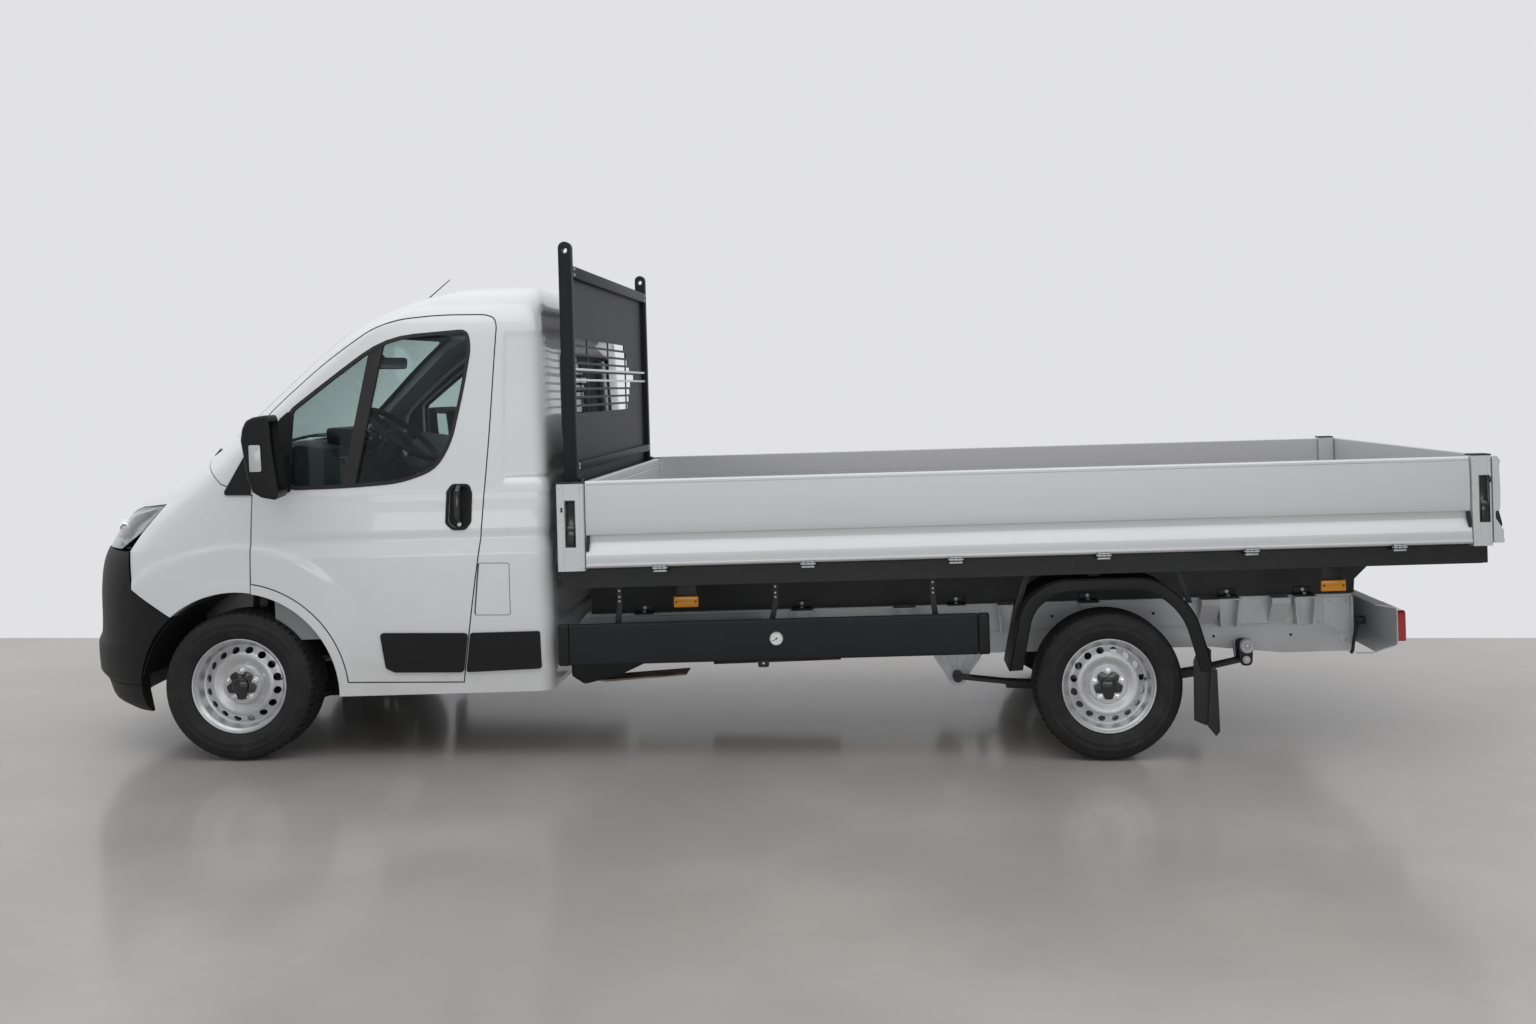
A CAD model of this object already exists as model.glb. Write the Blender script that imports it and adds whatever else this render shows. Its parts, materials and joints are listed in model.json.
"""Detailed model of a light flatbed truck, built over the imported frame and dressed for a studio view."""

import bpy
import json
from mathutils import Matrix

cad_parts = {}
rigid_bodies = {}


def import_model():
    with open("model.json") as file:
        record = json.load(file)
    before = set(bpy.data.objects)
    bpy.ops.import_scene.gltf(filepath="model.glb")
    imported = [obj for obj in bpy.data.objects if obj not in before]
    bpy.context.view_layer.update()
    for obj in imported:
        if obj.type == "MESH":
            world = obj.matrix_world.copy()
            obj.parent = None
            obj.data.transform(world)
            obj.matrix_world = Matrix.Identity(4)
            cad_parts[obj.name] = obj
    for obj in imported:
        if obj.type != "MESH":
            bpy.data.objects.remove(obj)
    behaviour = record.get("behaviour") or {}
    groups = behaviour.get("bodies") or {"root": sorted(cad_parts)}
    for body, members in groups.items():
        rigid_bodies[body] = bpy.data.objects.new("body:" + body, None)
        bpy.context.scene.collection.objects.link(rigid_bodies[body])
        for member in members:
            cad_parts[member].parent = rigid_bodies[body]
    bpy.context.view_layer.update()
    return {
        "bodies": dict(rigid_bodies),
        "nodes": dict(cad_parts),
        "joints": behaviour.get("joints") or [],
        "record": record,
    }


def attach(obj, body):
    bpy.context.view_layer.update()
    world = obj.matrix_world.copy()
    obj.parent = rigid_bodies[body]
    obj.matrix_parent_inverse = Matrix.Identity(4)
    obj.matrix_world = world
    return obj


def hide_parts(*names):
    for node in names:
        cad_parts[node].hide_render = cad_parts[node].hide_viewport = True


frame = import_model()

import json
import math

import bmesh
import bpy
from mathutils import Matrix, Vector

bl_info = {
    "name": "Flatbed truck",
    "version": (1, 0, 0),
    "blender": (4, 5, 0),
    "location": "3D View > Sidebar > Truck",
    "description": "Builds the visible parts of a light flatbed truck over its packed frame",
    "category": "Object",
}

# The stance is the one that the solids have: level drawing, x from the front axle, z from the ground
RAKE = math.radians(1.61)
TYRE_RADIUS = 0.347
TRACK_HALF = 0.905
OVERALL_MIDDLE = 2.4417
STANCE = (Matrix.Translation((-OVERALL_MIDDLE, 0.0, TYRE_RADIUS))
          @ Matrix.Rotation(-RAKE, 4, "Y")
          @ Matrix.Translation((0.0, 0.0, -TYRE_RADIUS)))
NODES = frame["nodes"]


# Shader nodes

class Wire:
    """One output of a shader node. Sums and products of wires add their Math nodes."""

    def __init__(self, finish, output):
        self.finish = finish
        self.output = output

    def maths(self, operation, first, second):
        return self.finish.node("Math", {"operation": operation}, {0: first, 1: second})

    def __add__(self, other):
        return self.maths("ADD", self, other)

    def __sub__(self, other):
        return self.maths("SUBTRACT", self, other)

    def __mul__(self, other):
        return self.maths("MULTIPLY", self, other)

    def __pow__(self, other):
        return self.maths("POWER", self, other)

    def __radd__(self, other):
        return self.maths("ADD", other, self)

    def __rsub__(self, other):
        return self.maths("SUBTRACT", other, self)

    def __rmul__(self, other):
        return self.maths("MULTIPLY", other, self)

    def smooth(self, low, high):
        """0 below low, 1 above high, eased between."""
        return self.finish.node("MapRange", {"interpolation_type": "SMOOTHSTEP"},
                                {"Value": self, "From Min": low, "From Max": high})


class Finish:
    """A material in the making: its node tree, with one method for every node."""

    def __init__(self, name, **values):
        self.material = bpy.data.materials.new(name)
        self.material.use_nodes = True
        self.tree = self.material.node_tree
        self.shader = self.tree.nodes["Principled BSDF"]
        self.set(**values)

    def node(self, kind, settings=(), inputs=(), output=0):
        made = self.tree.nodes.new("ShaderNode" + kind)
        for key, value in dict(settings).items():
            if key == "stops":
                ramp = made.color_ramp
                while len(ramp.elements) < len(value):
                    ramp.elements.new(0.5)
                for element, (place, colour) in zip(ramp.elements, value):
                    element.position = place
                    element.color = (*colour, 1.0) if isinstance(colour, tuple) else (colour, colour,
                                                                                      colour, 1.0)
            else:
                setattr(made, key, value)
        for key, value in dict(inputs).items():
            self.plug(made.inputs[key], value)
        return Wire(self, made.outputs[output])

    def plug(self, socket, value):
        if isinstance(value, Wire):
            self.tree.links.new(value.output, socket)
        else:
            socket.default_value = value

    def set(self, **values):
        """Values or wires for the shader, keyed by socket name with underscores."""
        for key, value in values.items():
            if isinstance(value, tuple) and len(value) == 3:
                value = (*value, 1.0)
            self.plug(self.shader.inputs[key.replace("_", " ")], value)

    def place(self):
        """Object coordinates, in metres in the row frame."""
        return self.node("TexCoord", output="Object")

    def part(self, vector, axis):
        """One coordinate of a vector: 0, 1 or 2."""
        return self.node("SeparateXYZ", (), {0: vector}, axis)

    def stretched(self, scale):
        """The place with each direction scaled, for streaks and grain."""
        return self.node("Mapping", (), {"Vector": self.place(), "Scale": scale})

    def noise(self, scale, detail=3.0, vector=None, roughness=0.5):
        return self.node("TexNoise", (), {"Vector": vector or self.place(), "Scale": scale,
                                          "Detail": detail, "Roughness": roughness})

    def cells(self, scale, feature="F1", output="Distance"):
        return self.node("TexVoronoi", {"feature": feature}, {"Vector": self.place(), "Scale": scale},
                         output)

    def blend(self, share, first, second):
        """Two colours mixed by a share."""
        inputs = {0: share, 6: (*first, 1.0) if isinstance(first, tuple) else first,
                  7: (*second, 1.0) if isinstance(second, tuple) else second}
        return self.node("Mix", {"data_type": "RGBA"}, inputs, 2)

    def bump(self, height, distance, strength=1.0):
        """Sends a height, in the given distance in metres, to the shader's Normal."""
        self.set(Normal=self.node("Bump", (), {"Height": height, "Distance": distance,
                                               "Strength": strength}))


LOOKS = {}


def look(name):
    """The finished material of that name, made once."""
    if name not in LOOKS:
        LOOKS[name] = (plain_look(name) if name in PLAIN_LOOKS else MAKERS[name]()).material
    return LOOKS[name]


def road_dust(finish, base, reach, share=0.35):
    """A base colour that greys towards the ground, in uneven patches."""
    height = finish.part(finish.place(), 2)
    low = 1.0 - height.smooth(0.0, reach)
    patches = finish.noise(6.0, 5.0).smooth(0.35, 0.75)
    return finish.blend(low * patches * share, base, (0.36, 0.345, 0.32))


# name: shader values, dust reach and share, scale, detail, dark, light, roughness, its spread and scale,
# scale, detail, depth and strength of the relief
PLAIN_LOOKS = {
    "gloss_black": ({"Coat_Weight": 0.6, "Coat_Roughness": 0.06}, None, 5.0, 3.0, (0.01, 0.011, 0.012),
                    (0.018, 0.019, 0.021), 0.16, 0.1, 18.0, 500.0, 1.0, 0.0001, 0.2),
    "rubber_seal": ({}, None, 12.0, 3.0, (0.012, 0.012, 0.013), (0.024, 0.024, 0.025), 0.62, 0.15, 60.0,
                    900.0, 2.0, 0.0002, 0.4),
    "black_paint": ({"Metallic": 0.1}, (0.8, 0.06), 7.0, 4.0, (0.008, 0.009, 0.01), (0.016, 0.017, 0.019),
                    0.36, 0.2, 24.0, 320.0, 3.0, 0.00025, 0.45),
    "cast_aluminium": ({"Metallic": 0.85}, None, 40.0, 4.0, (0.52, 0.53, 0.55), (0.68, 0.69, 0.71), 0.34,
                       0.22,
                       60.0, 700.0, 3.0, 0.0002, 0.4),
    "chrome": ({"Metallic": 1.0}, None, 20.0, 3.0, (0.8, 0.81, 0.83), (0.9, 0.91, 0.92), 0.05, 0.08, 50.0,
               200.0, 1.0, 0.00005, 0.2),
    "dial_white": ({"Coat_Weight": 0.3, "Coat_Roughness": 0.1}, None, 60.0, 3.0, (0.78, 0.79, 0.8),
                   (0.86, 0.87, 0.87), 0.35, 0.1, 90.0, 600.0, 3.0, 0.0001, 0.3),
}


def plain_look(name):
    """An even paint, plastic, rubber or metal from the table."""
    row = PLAIN_LOOKS[name]
    values, dust, scale, detail, dark, light = row[:6]
    rough, spread, patches, grain, fineness, depth, strength = row[6:]
    finish = Finish(name, **values)
    base = finish.blend(finish.noise(scale, detail), dark, light)
    if dust:
        base = road_dust(finish, base, *dust)
    finish.set(Base_Color=base, Roughness=rough + spread * finish.noise(patches))
    finish.bump(finish.noise(grain, fineness), depth, strength)
    return finish


def white_paint():
    finish = Finish("white_paint", Roughness=0.3, Coat_Weight=0.9, Coat_Roughness=0.04)
    cloudy = finish.noise(2.5, 3.0)
    base = finish.blend(cloudy, tuple(settings().cab_colour),
                        tuple(0.955 * c for c in settings().cab_colour))
    finish.set(Base_Color=road_dust(finish, base, 0.75, 0.3), Roughness=0.24 + 0.12 * finish.noise(9.0))
    finish.bump(finish.noise(420.0, 1.0), 0.00012, 0.35)
    return finish


def black_plastic():
    """Grained bumper plastic."""
    finish = Finish("black_plastic", Specular_IOR_Level=0.3)
    grain = finish.cells(620.0)
    base = finish.blend(finish.noise(3.5, 4.0), (0.007, 0.007, 0.008), (0.013, 0.014, 0.015))
    finish.set(Base_Color=road_dust(finish, base, 0.55, 0.05), Roughness=0.46 + 0.14 * finish.noise(30.0))
    finish.bump(grain + 0.5 * finish.noise(1400.0), 0.00035, 0.55)
    return finish


def tyre_rubber():
    """Tyre rubber, dustier on the tread and in blotches on the wall."""
    finish = Finish("tyre_rubber")
    dusty = finish.noise(14.0, 6.0).smooth(0.42, 0.78)
    base = finish.blend(dusty * 0.3, (0.009, 0.009, 0.01), (0.045, 0.042, 0.039))
    finish.set(Base_Color=base, Roughness=0.66 + 0.18 * finish.noise(40.0))
    finish.bump(finish.noise(700.0, 3.0), 0.0003, 0.5)
    return finish


def wheel_silver():
    """Silver wheel paint with brake dust gathered near the hub."""
    finish = Finish("wheel_silver", Metallic=0.72, Coat_Weight=0.35, Coat_Roughness=0.12)
    flake = finish.cells(2600.0, output="Color")
    shade = finish.part(flake, 0)
    base = finish.blend(shade * 0.35, (0.58, 0.59, 0.61), (0.75, 0.76, 0.78))
    dust = finish.noise(22.0, 5.0).smooth(0.5, 0.8)
    finish.set(Base_Color=finish.blend(dust * 0.3, base, (0.3, 0.27, 0.24)),
               Roughness=0.3 + 0.16 * finish.noise(35.0))
    finish.bump(finish.noise(380.0, 2.0), 0.00015, 0.35)
    return finish


def frame_grey():
    """Light grey frame paint with a film of dust, and black underseal from the cab forwards."""
    finish = Finish("frame_grey", Metallic=0.15)
    base = finish.blend(finish.noise(4.0, 4.0), (0.7, 0.72, 0.75), (0.8, 0.82, 0.85))
    behind_cab = finish.part(finish.place(), 0).smooth(-1.62, -1.55)
    base = finish.blend(behind_cab, (0.012, 0.013, 0.014), road_dust(finish, base, 0.9, 0.35))
    finish.set(Base_Color=base, Roughness=0.4 + 0.2 * finish.noise(16.0))
    finish.bump(finish.noise(260.0, 3.0), 0.0003, 0.4)
    return finish


def anthracite():
    """Dark grey powder coat with its fine orange peel."""
    finish = Finish("anthracite", Metallic=0.0, Coat_Weight=0.03, Coat_Roughness=0.35,
                    Specular_IOR_Level=0.18)
    base = finish.blend(finish.noise(5.0, 3.0), (0.014, 0.015, 0.018), (0.022, 0.024, 0.028))
    finish.set(Base_Color=base, Roughness=0.46 + 0.1 * finish.noise(30.0))
    finish.bump(finish.cells(480.0) + finish.noise(900.0), 0.00018, 0.35)
    return finish


def board_aluminium():
    """Anodised extrusion, drawn lengthwise, with faint lines and handling marks."""
    finish = Finish("board_aluminium", Metallic=0.45)
    lines = finish.noise(1.0, 3.0, finish.stretched((1.5, 60.0, 900.0)))
    cloud = finish.noise(3.0, 3.0, finish.stretched((0.5, 1.0, 4.0)))
    base = finish.blend(lines, tuple(0.93 * c for c in settings().board_colour),
                        tuple(settings().board_colour))
    finish.set(Base_Color=finish.blend(cloud.smooth(0.55, 0.9) * 0.2, base, (0.52, 0.53, 0.54)),
               Roughness=0.42 + 0.14 * lines + 0.05 * cloud)
    finish.bump(lines, 0.00012, 0.3)
    return finish


def deck_board():
    """Film-faced plywood with its small woven anti-slip print, scuffed along the load's way."""
    finish = Finish("deck_board")
    net = finish.cells(210.0, "DISTANCE_TO_EDGE")
    scuff = finish.noise(3.0, 6.0, finish.stretched((0.6, 5.0, 1.0))).smooth(0.55, 0.8)
    base = finish.blend(finish.noise(2.0, 3.0), (0.065, 0.042, 0.028), (0.105, 0.07, 0.047))
    finish.set(Base_Color=finish.blend(scuff * 0.4, base, (0.26, 0.21, 0.17)), Roughness=0.42 + 0.3 * scuff)
    finish.bump(net.smooth(0.0, 0.0016), 0.0004, 0.6)
    return finish


def pane(name, tint, cover):
    """Thin glass: a tinted see-through sheet under a mirror-like film that follows the angle."""
    finish = Finish(name)
    streak = finish.noise(3.0, 4.0, finish.stretched((1.0, 1.0, 0.4)))
    finish.set(Base_Color=finish.blend(streak, tint, tuple(0.9 * c for c in tint)),
               Roughness=0.02 + 0.03 * streak, Specular_IOR_Level=0.5)
    clear = finish.node("BsdfTransparent", (), {"Color": (*tint, 1.0)}, "BSDF")
    facing = finish.node("LayerWeight", (), {"Blend": 0.5}, "Facing")
    share = facing ** 5.0 * 0.75 + (1.0 - cover)
    mirror = finish.node("BsdfGlossy", (), {"Color": (0.95, 0.97, 0.97, 1.0), "Roughness": 0.015}, "BSDF")
    mixed = finish.node("MixShader", (), {0: share, 1: clear, 2: mirror}, "Shader")
    output = finish.tree.nodes["Material Output"]
    finish.tree.links.new(mixed.output, output.inputs["Surface"])
    return finish


def window_glass():
    return pane("window_glass", (0.8, 0.86, 0.848), 0.96)


def lens(name, colour, coat=1.0):
    """Moulded lamp lens with fine vertical optics."""
    finish = Finish(name, Coat_Weight=coat, Coat_Roughness=0.03)
    ribs = finish.node("TexWave", {"wave_type": "BANDS", "bands_direction": "X"},
                       {"Vector": finish.place(), "Scale": 60.0, "Distortion": 0.0})
    finish.set(Base_Color=finish.blend(ribs * 0.35, colour, tuple(0.55 * c for c in colour)),
               Roughness=0.08 + 0.06 * finish.noise(30.0))
    finish.bump(ribs, 0.0006, 0.5)
    return finish


def red_lens():
    return lens("red_lens", (0.5, 0.012, 0.01))


def amber_lens():
    return lens("amber_lens", (0.95, 0.36, 0.006), coat=0.25)


def indicator_lens():
    return lens("indicator_lens", (0.62, 0.64, 0.66))


def lamp_cover():
    """Clear polycarbonate cover of the headlamp."""
    return pane("lamp_cover", (0.93, 0.95, 0.96), 0.9)


def interior_plastic():
    finish = Finish("interior_plastic")
    base = finish.blend(finish.noise(6.0, 3.0), (0.03, 0.032, 0.035), (0.05, 0.052, 0.056))
    finish.set(Base_Color=base, Roughness=0.58 + 0.14 * finish.noise(25.0))
    finish.bump(finish.cells(900.0), 0.0003, 0.5)
    return finish


def seat_cloth():
    """Woven seat cloth with a fine two-way weave and a soft sheen."""
    finish = Finish("seat_cloth", Sheen_Weight=0.35, Sheen_Roughness=0.5, Roughness=0.9)
    across = finish.node("TexWave", {"bands_direction": "Y"}, {"Vector": finish.place(), "Scale": 180.0,
                                                              "Distortion": 0.6})
    along = finish.node("TexWave", {"bands_direction": "Z"}, {"Vector": finish.place(), "Scale": 180.0,
                                                             "Distortion": 0.6})
    weave = across * along
    base = finish.blend(weave, (0.02, 0.022, 0.026), (0.075, 0.079, 0.088))
    finish.set(Base_Color=finish.blend(finish.noise(5.0).smooth(0.4, 0.8) * 0.3, base, (0.1, 0.1, 0.11)))
    finish.bump(weave, 0.0006, 0.8)
    return finish


def lining_cloth():
    """Grey felt of the roof and pillar linings."""
    finish = Finish("lining_cloth", Sheen_Weight=0.3, Sheen_Roughness=0.6, Roughness=0.95)
    fibres = finish.noise(900.0, 5.0)
    finish.set(Base_Color=finish.blend(fibres, (0.27, 0.28, 0.3), (0.36, 0.37, 0.39)))
    finish.bump(fibres, 0.0004, 0.6)
    return finish


def exhaust_steel():
    finish = Finish("exhaust_steel", Metallic=0.8)
    heat = finish.noise(6.0, 6.0).smooth(0.35, 0.7)
    finish.set(Base_Color=finish.blend(heat, (0.33, 0.3, 0.27), (0.21, 0.13, 0.08)),
               Roughness=0.42 + 0.3 * finish.noise(20.0))
    finish.bump(finish.noise(150.0, 4.0), 0.0004, 0.5)
    return finish


def polished_floor():
    """Pale warm concrete, ground and sealed, with clouds, fine pits and soft reflections."""
    finish = Finish("polished_floor", Coat_Weight=0.55, Coat_Roughness=0.15)
    clouds = finish.noise(0.7, 6.0)
    specks = finish.noise(9.0, 8.0, roughness=0.7)
    tone = settings().floor_colour
    base = finish.blend(clouds.smooth(0.34, 0.66), tuple(0.86 * c for c in tone),
                        tuple(1.05 * c for c in tone))
    base = finish.blend(specks.smooth(0.45, 0.85) * 0.22, base, tuple(0.72 * c for c in tone))
    finish.set(Base_Color=base, Roughness=0.34 + 0.2 * clouds + 0.1 * specks)
    finish.bump(finish.noise(60.0, 5.0), 0.0004, 0.25)
    return finish


MAKERS = {maker.__name__: maker for maker in (white_paint, black_plastic, tyre_rubber, wheel_silver,
                                              frame_grey, anthracite, board_aluminium, deck_board,
                                              window_glass, red_lens, amber_lens, indicator_lens,
                                              lamp_cover, interior_plastic, seat_cloth, lining_cloth,
                                              exhaust_steel, polished_floor)}


# Shapes, drawn level in metres: x to the rear from the front axle, y to the truck's right, z from the ground

def block(low, high, bevel=0.0, steps=2):
    """A box between two corners, with its edges rounded."""
    bm = bmesh.new()
    size = Vector(high) - Vector(low)
    middle = (Vector(low) + Vector(high)) / 2
    bmesh.ops.create_cube(bm, size=1.0, matrix=Matrix.Translation(middle) @ Matrix.Diagonal((*size, 1.0)))
    return soften(bm, bevel, steps)


def soften(bm, width, steps=2, angle=30.0):
    """Rounds the sharp edges."""
    if width > 0.0:
        sharp = [edge for edge in bm.edges if len(edge.link_faces) == 2
                 and edge.calc_face_angle(0.0) > math.radians(angle)]
        bmesh.ops.bevel(bm, geom=sharp, offset=width, offset_type="OFFSET", segments=steps, profile=0.5,
                        affect="EDGES", clamp_overlap=True, material=-1)
    return bm


def along(start, end):
    """The matrix that stands a shape's own z axis on the line from start to end, centred on it."""
    start, end = Vector(start), Vector(end)
    turn = (end - start).to_track_quat("Z", "Y").to_matrix().to_4x4()
    return Matrix.Translation((start + end) / 2) @ turn


def bar(start, end, radius, sides=16, end_radius=None, bevel=0.0):
    """A round bar or cone between two points."""
    bm = bmesh.new()
    bmesh.ops.create_cone(bm, cap_ends=True, segments=sides, radius1=radius,
                          radius2=radius if end_radius is None else end_radius,
                          depth=(Vector(end) - Vector(start)).length, matrix=along(start, end))
    return soften(bm, bevel, 2, 60.0)


TURNS = {
    "X": Matrix(((0, 0, 1, 0), (1, 0, 0, 0), (0, 1, 0, 0), (0, 0, 0, 1))),
    "Y": Matrix(((1, 0, 0, 0), (0, 0, 1, 0), (0, 1, 0, 0), (0, 0, 0, 1))),
    "Z": Matrix.Identity(4),
}


def plate(outline, across, low, high, bevel=0.0, steps=2):
    """A flat outline pushed out along one axis: (y, z) along X, (x, z) along Y, (x, y) along Z."""
    bm = bmesh.new()
    face = bm.faces.new([bm.verts.new((u, v, low)) for u, v in outline])
    grown = bmesh.ops.extrude_face_region(bm, geom=[face])
    moved = [item for item in grown["geom"] if isinstance(item, bmesh.types.BMVert)]
    bmesh.ops.translate(bm, vec=(0.0, 0.0, high - low), verts=moved)
    bmesh.ops.transform(bm, matrix=TURNS[across], verts=bm.verts)
    bmesh.ops.recalc_face_normals(bm, faces=bm.faces)
    return soften(bm, bevel, steps)


def lathe(profile, start, direction, steps=32):
    """A closed profile of (radius, distance along the axis) turned about an axis through start."""
    bm = bmesh.new()
    ring = [bm.verts.new((radius, 0.0, offset)) for radius, offset in profile]
    edges = [bm.edges.new(pair) for pair in zip(ring, ring[1:] + ring[:1])]
    bmesh.ops.spin(bm, geom=ring + edges, cent=(0, 0, 0), axis=(0, 0, 1), angle=math.tau, steps=steps,
                   use_merge=True)
    bmesh.ops.remove_doubles(bm, verts=bm.verts, dist=0.00001)
    bmesh.ops.recalc_face_normals(bm, faces=bm.faces)
    turn = Vector(direction).to_track_quat("Z", "Y").to_matrix().to_4x4()
    bmesh.ops.transform(bm, matrix=Matrix.Translation(start) @ turn, verts=bm.verts)
    return bm


def tube(points, radius, sides=10, closed=False):
    """A round tube that follows a path of points."""
    curve = bpy.data.curves.new("path", "CURVE")
    curve.dimensions = "3D"
    curve.bevel_depth = radius
    curve.bevel_resolution = max(0, sides // 2 - 2)
    curve.use_fill_caps = not closed
    spline = curve.splines.new("POLY")
    spline.points.add(len(points) - 1)
    for point, place in zip(spline.points, points):
        point.co = (*place, 1.0)
    spline.use_cyclic_u = closed
    holder = bpy.data.objects.new("path", curve)
    bm = bmesh.new()
    mesh = holder.to_mesh()
    bm.from_mesh(mesh)
    holder.to_mesh_clear()
    bpy.data.objects.remove(holder)
    bpy.data.curves.remove(curve)
    bmesh.ops.remove_doubles(bm, verts=bm.verts, dist=0.00001)
    bmesh.ops.recalc_face_normals(bm, faces=bm.faces)
    return bm


def rounded_path(points, radius, steps=6):
    """A path with its corners rounded."""
    result = [Vector(points[0])]
    for before, corner, after in zip(points, points[1:], points[2:]):
        before, corner, after = Vector(before), Vector(corner), Vector(after)
        reach = min(radius, 0.45 * (before - corner).length, 0.45 * (after - corner).length)
        start = corner + (before - corner).normalized() * reach
        end = corner + (after - corner).normalized() * reach
        for k in range(steps + 1):
            t = k / steps
            result.append((1 - t) ** 2 * start + 2 * t * (1 - t) * corner + t ** 2 * end)
    return result + [Vector(points[-1])]


def rounded(outline, radius, steps=5, flowing=False):
    """A closed flat outline with its corners rounded; where it flows, blunt corners turn into long curves."""
    result = []
    for i, corner in enumerate(outline):
        corner = Vector(corner)
        before = Vector(outline[i - 1]) - corner
        after = Vector(outline[(i + 1) % len(outline)]) - corner
        bend = before.angle(after)
        reach = min(radius / max(0.05, math.tan(bend / 2)), 0.45 * before.length, 0.45 * after.length)
        if flowing and bend > 2.4:
            reach = 0.45 * min(before.length, after.length)
        start, end = corner + before.normalized() * reach, corner + after.normalized() * reach
        for k in range(steps + 1):
            t = k / steps
            result.append(tuple((1 - t) ** 2 * start + 2 * t * (1 - t) * corner + t ** 2 * end))
    return result


def grown(outline, distance):
    """The outline moved outwards by a distance, or inwards where it is negative."""
    area = sum(a[0] * b[1] - b[0] * a[1] for a, b in zip(outline, outline[1:] + outline[:1]))
    side = 1.0 if area > 0 else -1.0
    result = []
    for i, corner in enumerate(outline):
        corner = Vector(corner)
        before = (corner - Vector(outline[i - 1])).normalized()
        after = (Vector(outline[(i + 1) % len(outline)]) - corner).normalized()
        out_before = Vector((before.y, -before.x)) * side
        out_after = Vector((after.y, -after.x)) * side
        reach = distance / max(0.35, 1.0 + out_before.dot(out_after))
        result.append(tuple(corner + (out_before + out_after) * reach))
    return result


def arc(centre, radius, start, end, steps):
    """Points on an arc, from one angle in degrees to another."""
    turns = [math.radians(start + (end - start) * i / steps) for i in range(steps + 1)]
    return [(centre[0] + radius * math.cos(t), centre[1] + radius * math.sin(t)) for t in turns]


def merged(*shapes):
    """One mesh that holds all the shapes."""
    whole = shapes[0]
    for shape in shapes[1:]:
        mesh = bpy.data.meshes.new("shape")
        shape.to_mesh(mesh)
        shape.free()
        whole.from_mesh(mesh)
        bpy.data.meshes.remove(mesh)
    return whole


def copied(shape, matrix):
    """A copy of a shape, moved by a matrix."""
    twin = shape.copy()
    bmesh.ops.transform(twin, matrix=matrix, verts=twin.verts)
    if matrix.determinant() < 0.0:
        bmesh.ops.reverse_faces(twin, faces=twin.faces)
    return twin


MIRROR = Matrix.Diagonal((1.0, -1.0, 1.0, 1.0))


def loose(name, shape):
    """A loose object that holds a shape, to cut with or to be cut."""
    mesh = bpy.data.meshes.new(name)
    shape.to_mesh(mesh)
    shape.free()
    obj = bpy.data.objects.new(name, mesh)
    bpy.context.scene.collection.objects.link(obj)
    return obj


def carve(shape, *tools, operation="DIFFERENCE"):
    """The shape cut by each tool, or kept inside it, or joined to it. The tools are used up."""
    body = loose("body", shape)
    for tool in tools:
        cutter = loose("tool", tool)
        modifier = body.modifiers.new("cut", "BOOLEAN")
        modifier.operation = operation
        modifier.solver = "MANIFOLD"
        modifier.object = cutter
        graph = bpy.context.evaluated_depsgraph_get()
        mesh = bpy.data.meshes.new_from_object(body.evaluated_get(graph))
        body.modifiers.clear()
        old, body.data = body.data, mesh
        bpy.data.meshes.remove(old)
        bpy.data.meshes.remove(cutter.data)
    result = bmesh.new()
    result.from_mesh(body.data)
    bpy.data.meshes.remove(body.data)
    if not result.faces:
        raise RuntimeError("a cut left nothing of a shape")
    return result


def piece(name, shape, finish, body="truck", replaces=(), slot=None, smooth=35.0, bevel=0.0):
    """Stands a shape, or a list of them, on the truck as one finished object that rides on a body."""
    if isinstance(shape, list):
        shape = merged(*shape)
    mesh = bpy.data.meshes.new(name)
    bmesh.ops.transform(shape, matrix=STANCE, verts=shape.verts)
    shape.to_mesh(mesh)
    shape.free()
    mesh.materials.append(look(finish))
    mesh.shade_smooth()
    mesh.set_sharp_from_angle(angle=math.radians(smooth))
    obj = bpy.data.objects.new(name, mesh)
    bpy.context.scene.collection.objects.link(obj)
    if bevel:
        edge = obj.modifiers.new("edge", "BEVEL")
        edge.width = bevel
        edge.segments = 2
        edge.limit_method = "ANGLE"
        edge.angle_limit = math.radians(40.0)
        edge.harden_normals = True
    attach(obj, body)
    if replaces:
        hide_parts(*replaces)
    return obj


def both_sides(name, shape, finish, body="truck", replaces=(), **options):
    """The piece on the left, and its mirror image on the right."""
    if isinstance(shape, list):
        shape = merged(*shape)
    twin = copied(shape, MIRROR)
    for side, made in (("left", shape), ("right", twin)):
        piece(f"{name}_{side}", made, finish, body.format(side), [node.format(side) for node in replaces],
              **options)


def dress(node, finish):
    """Gives a CAD node a finished material."""
    obj = NODES[node]
    obj.data.materials.clear()
    obj.data.materials.append(look(finish))


# Stage

EYE = (0.53, -7.19, 1.739)
FOCAL_LENGTH = 31.34
SENSOR = 36.0
FRAME_SHIFT = (-0.0729, -0.082)
BACK_EDGE = 2.04
LAMPS = (  # name, place, aim, width, height, watts
    ("ceiling_front", (-2.5, -3.0, 5.2), (-1.5, -0.5, 0.8), 5.0, 2.4, 46.0),
    ("ceiling_rear", (3.0, -3.0, 5.2), (2.2, -0.5, 0.8), 5.0, 2.4, 44.0),
    ("side_wash", (0.5, -9.0, 1.5), (0.0, 0.0, 0.8), 11.0, 1.6, 105.0),
    ("nose_wash", (-9.0, -2.0, 3.0), (-3.0, 0.0, 1.0), 4.0, 3.0, 26.0),
)


def add_object(name, data):
    """A new object in the scene."""
    made = bpy.data.objects.new(name, data)
    bpy.context.scene.collection.objects.link(made)
    return made


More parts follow.
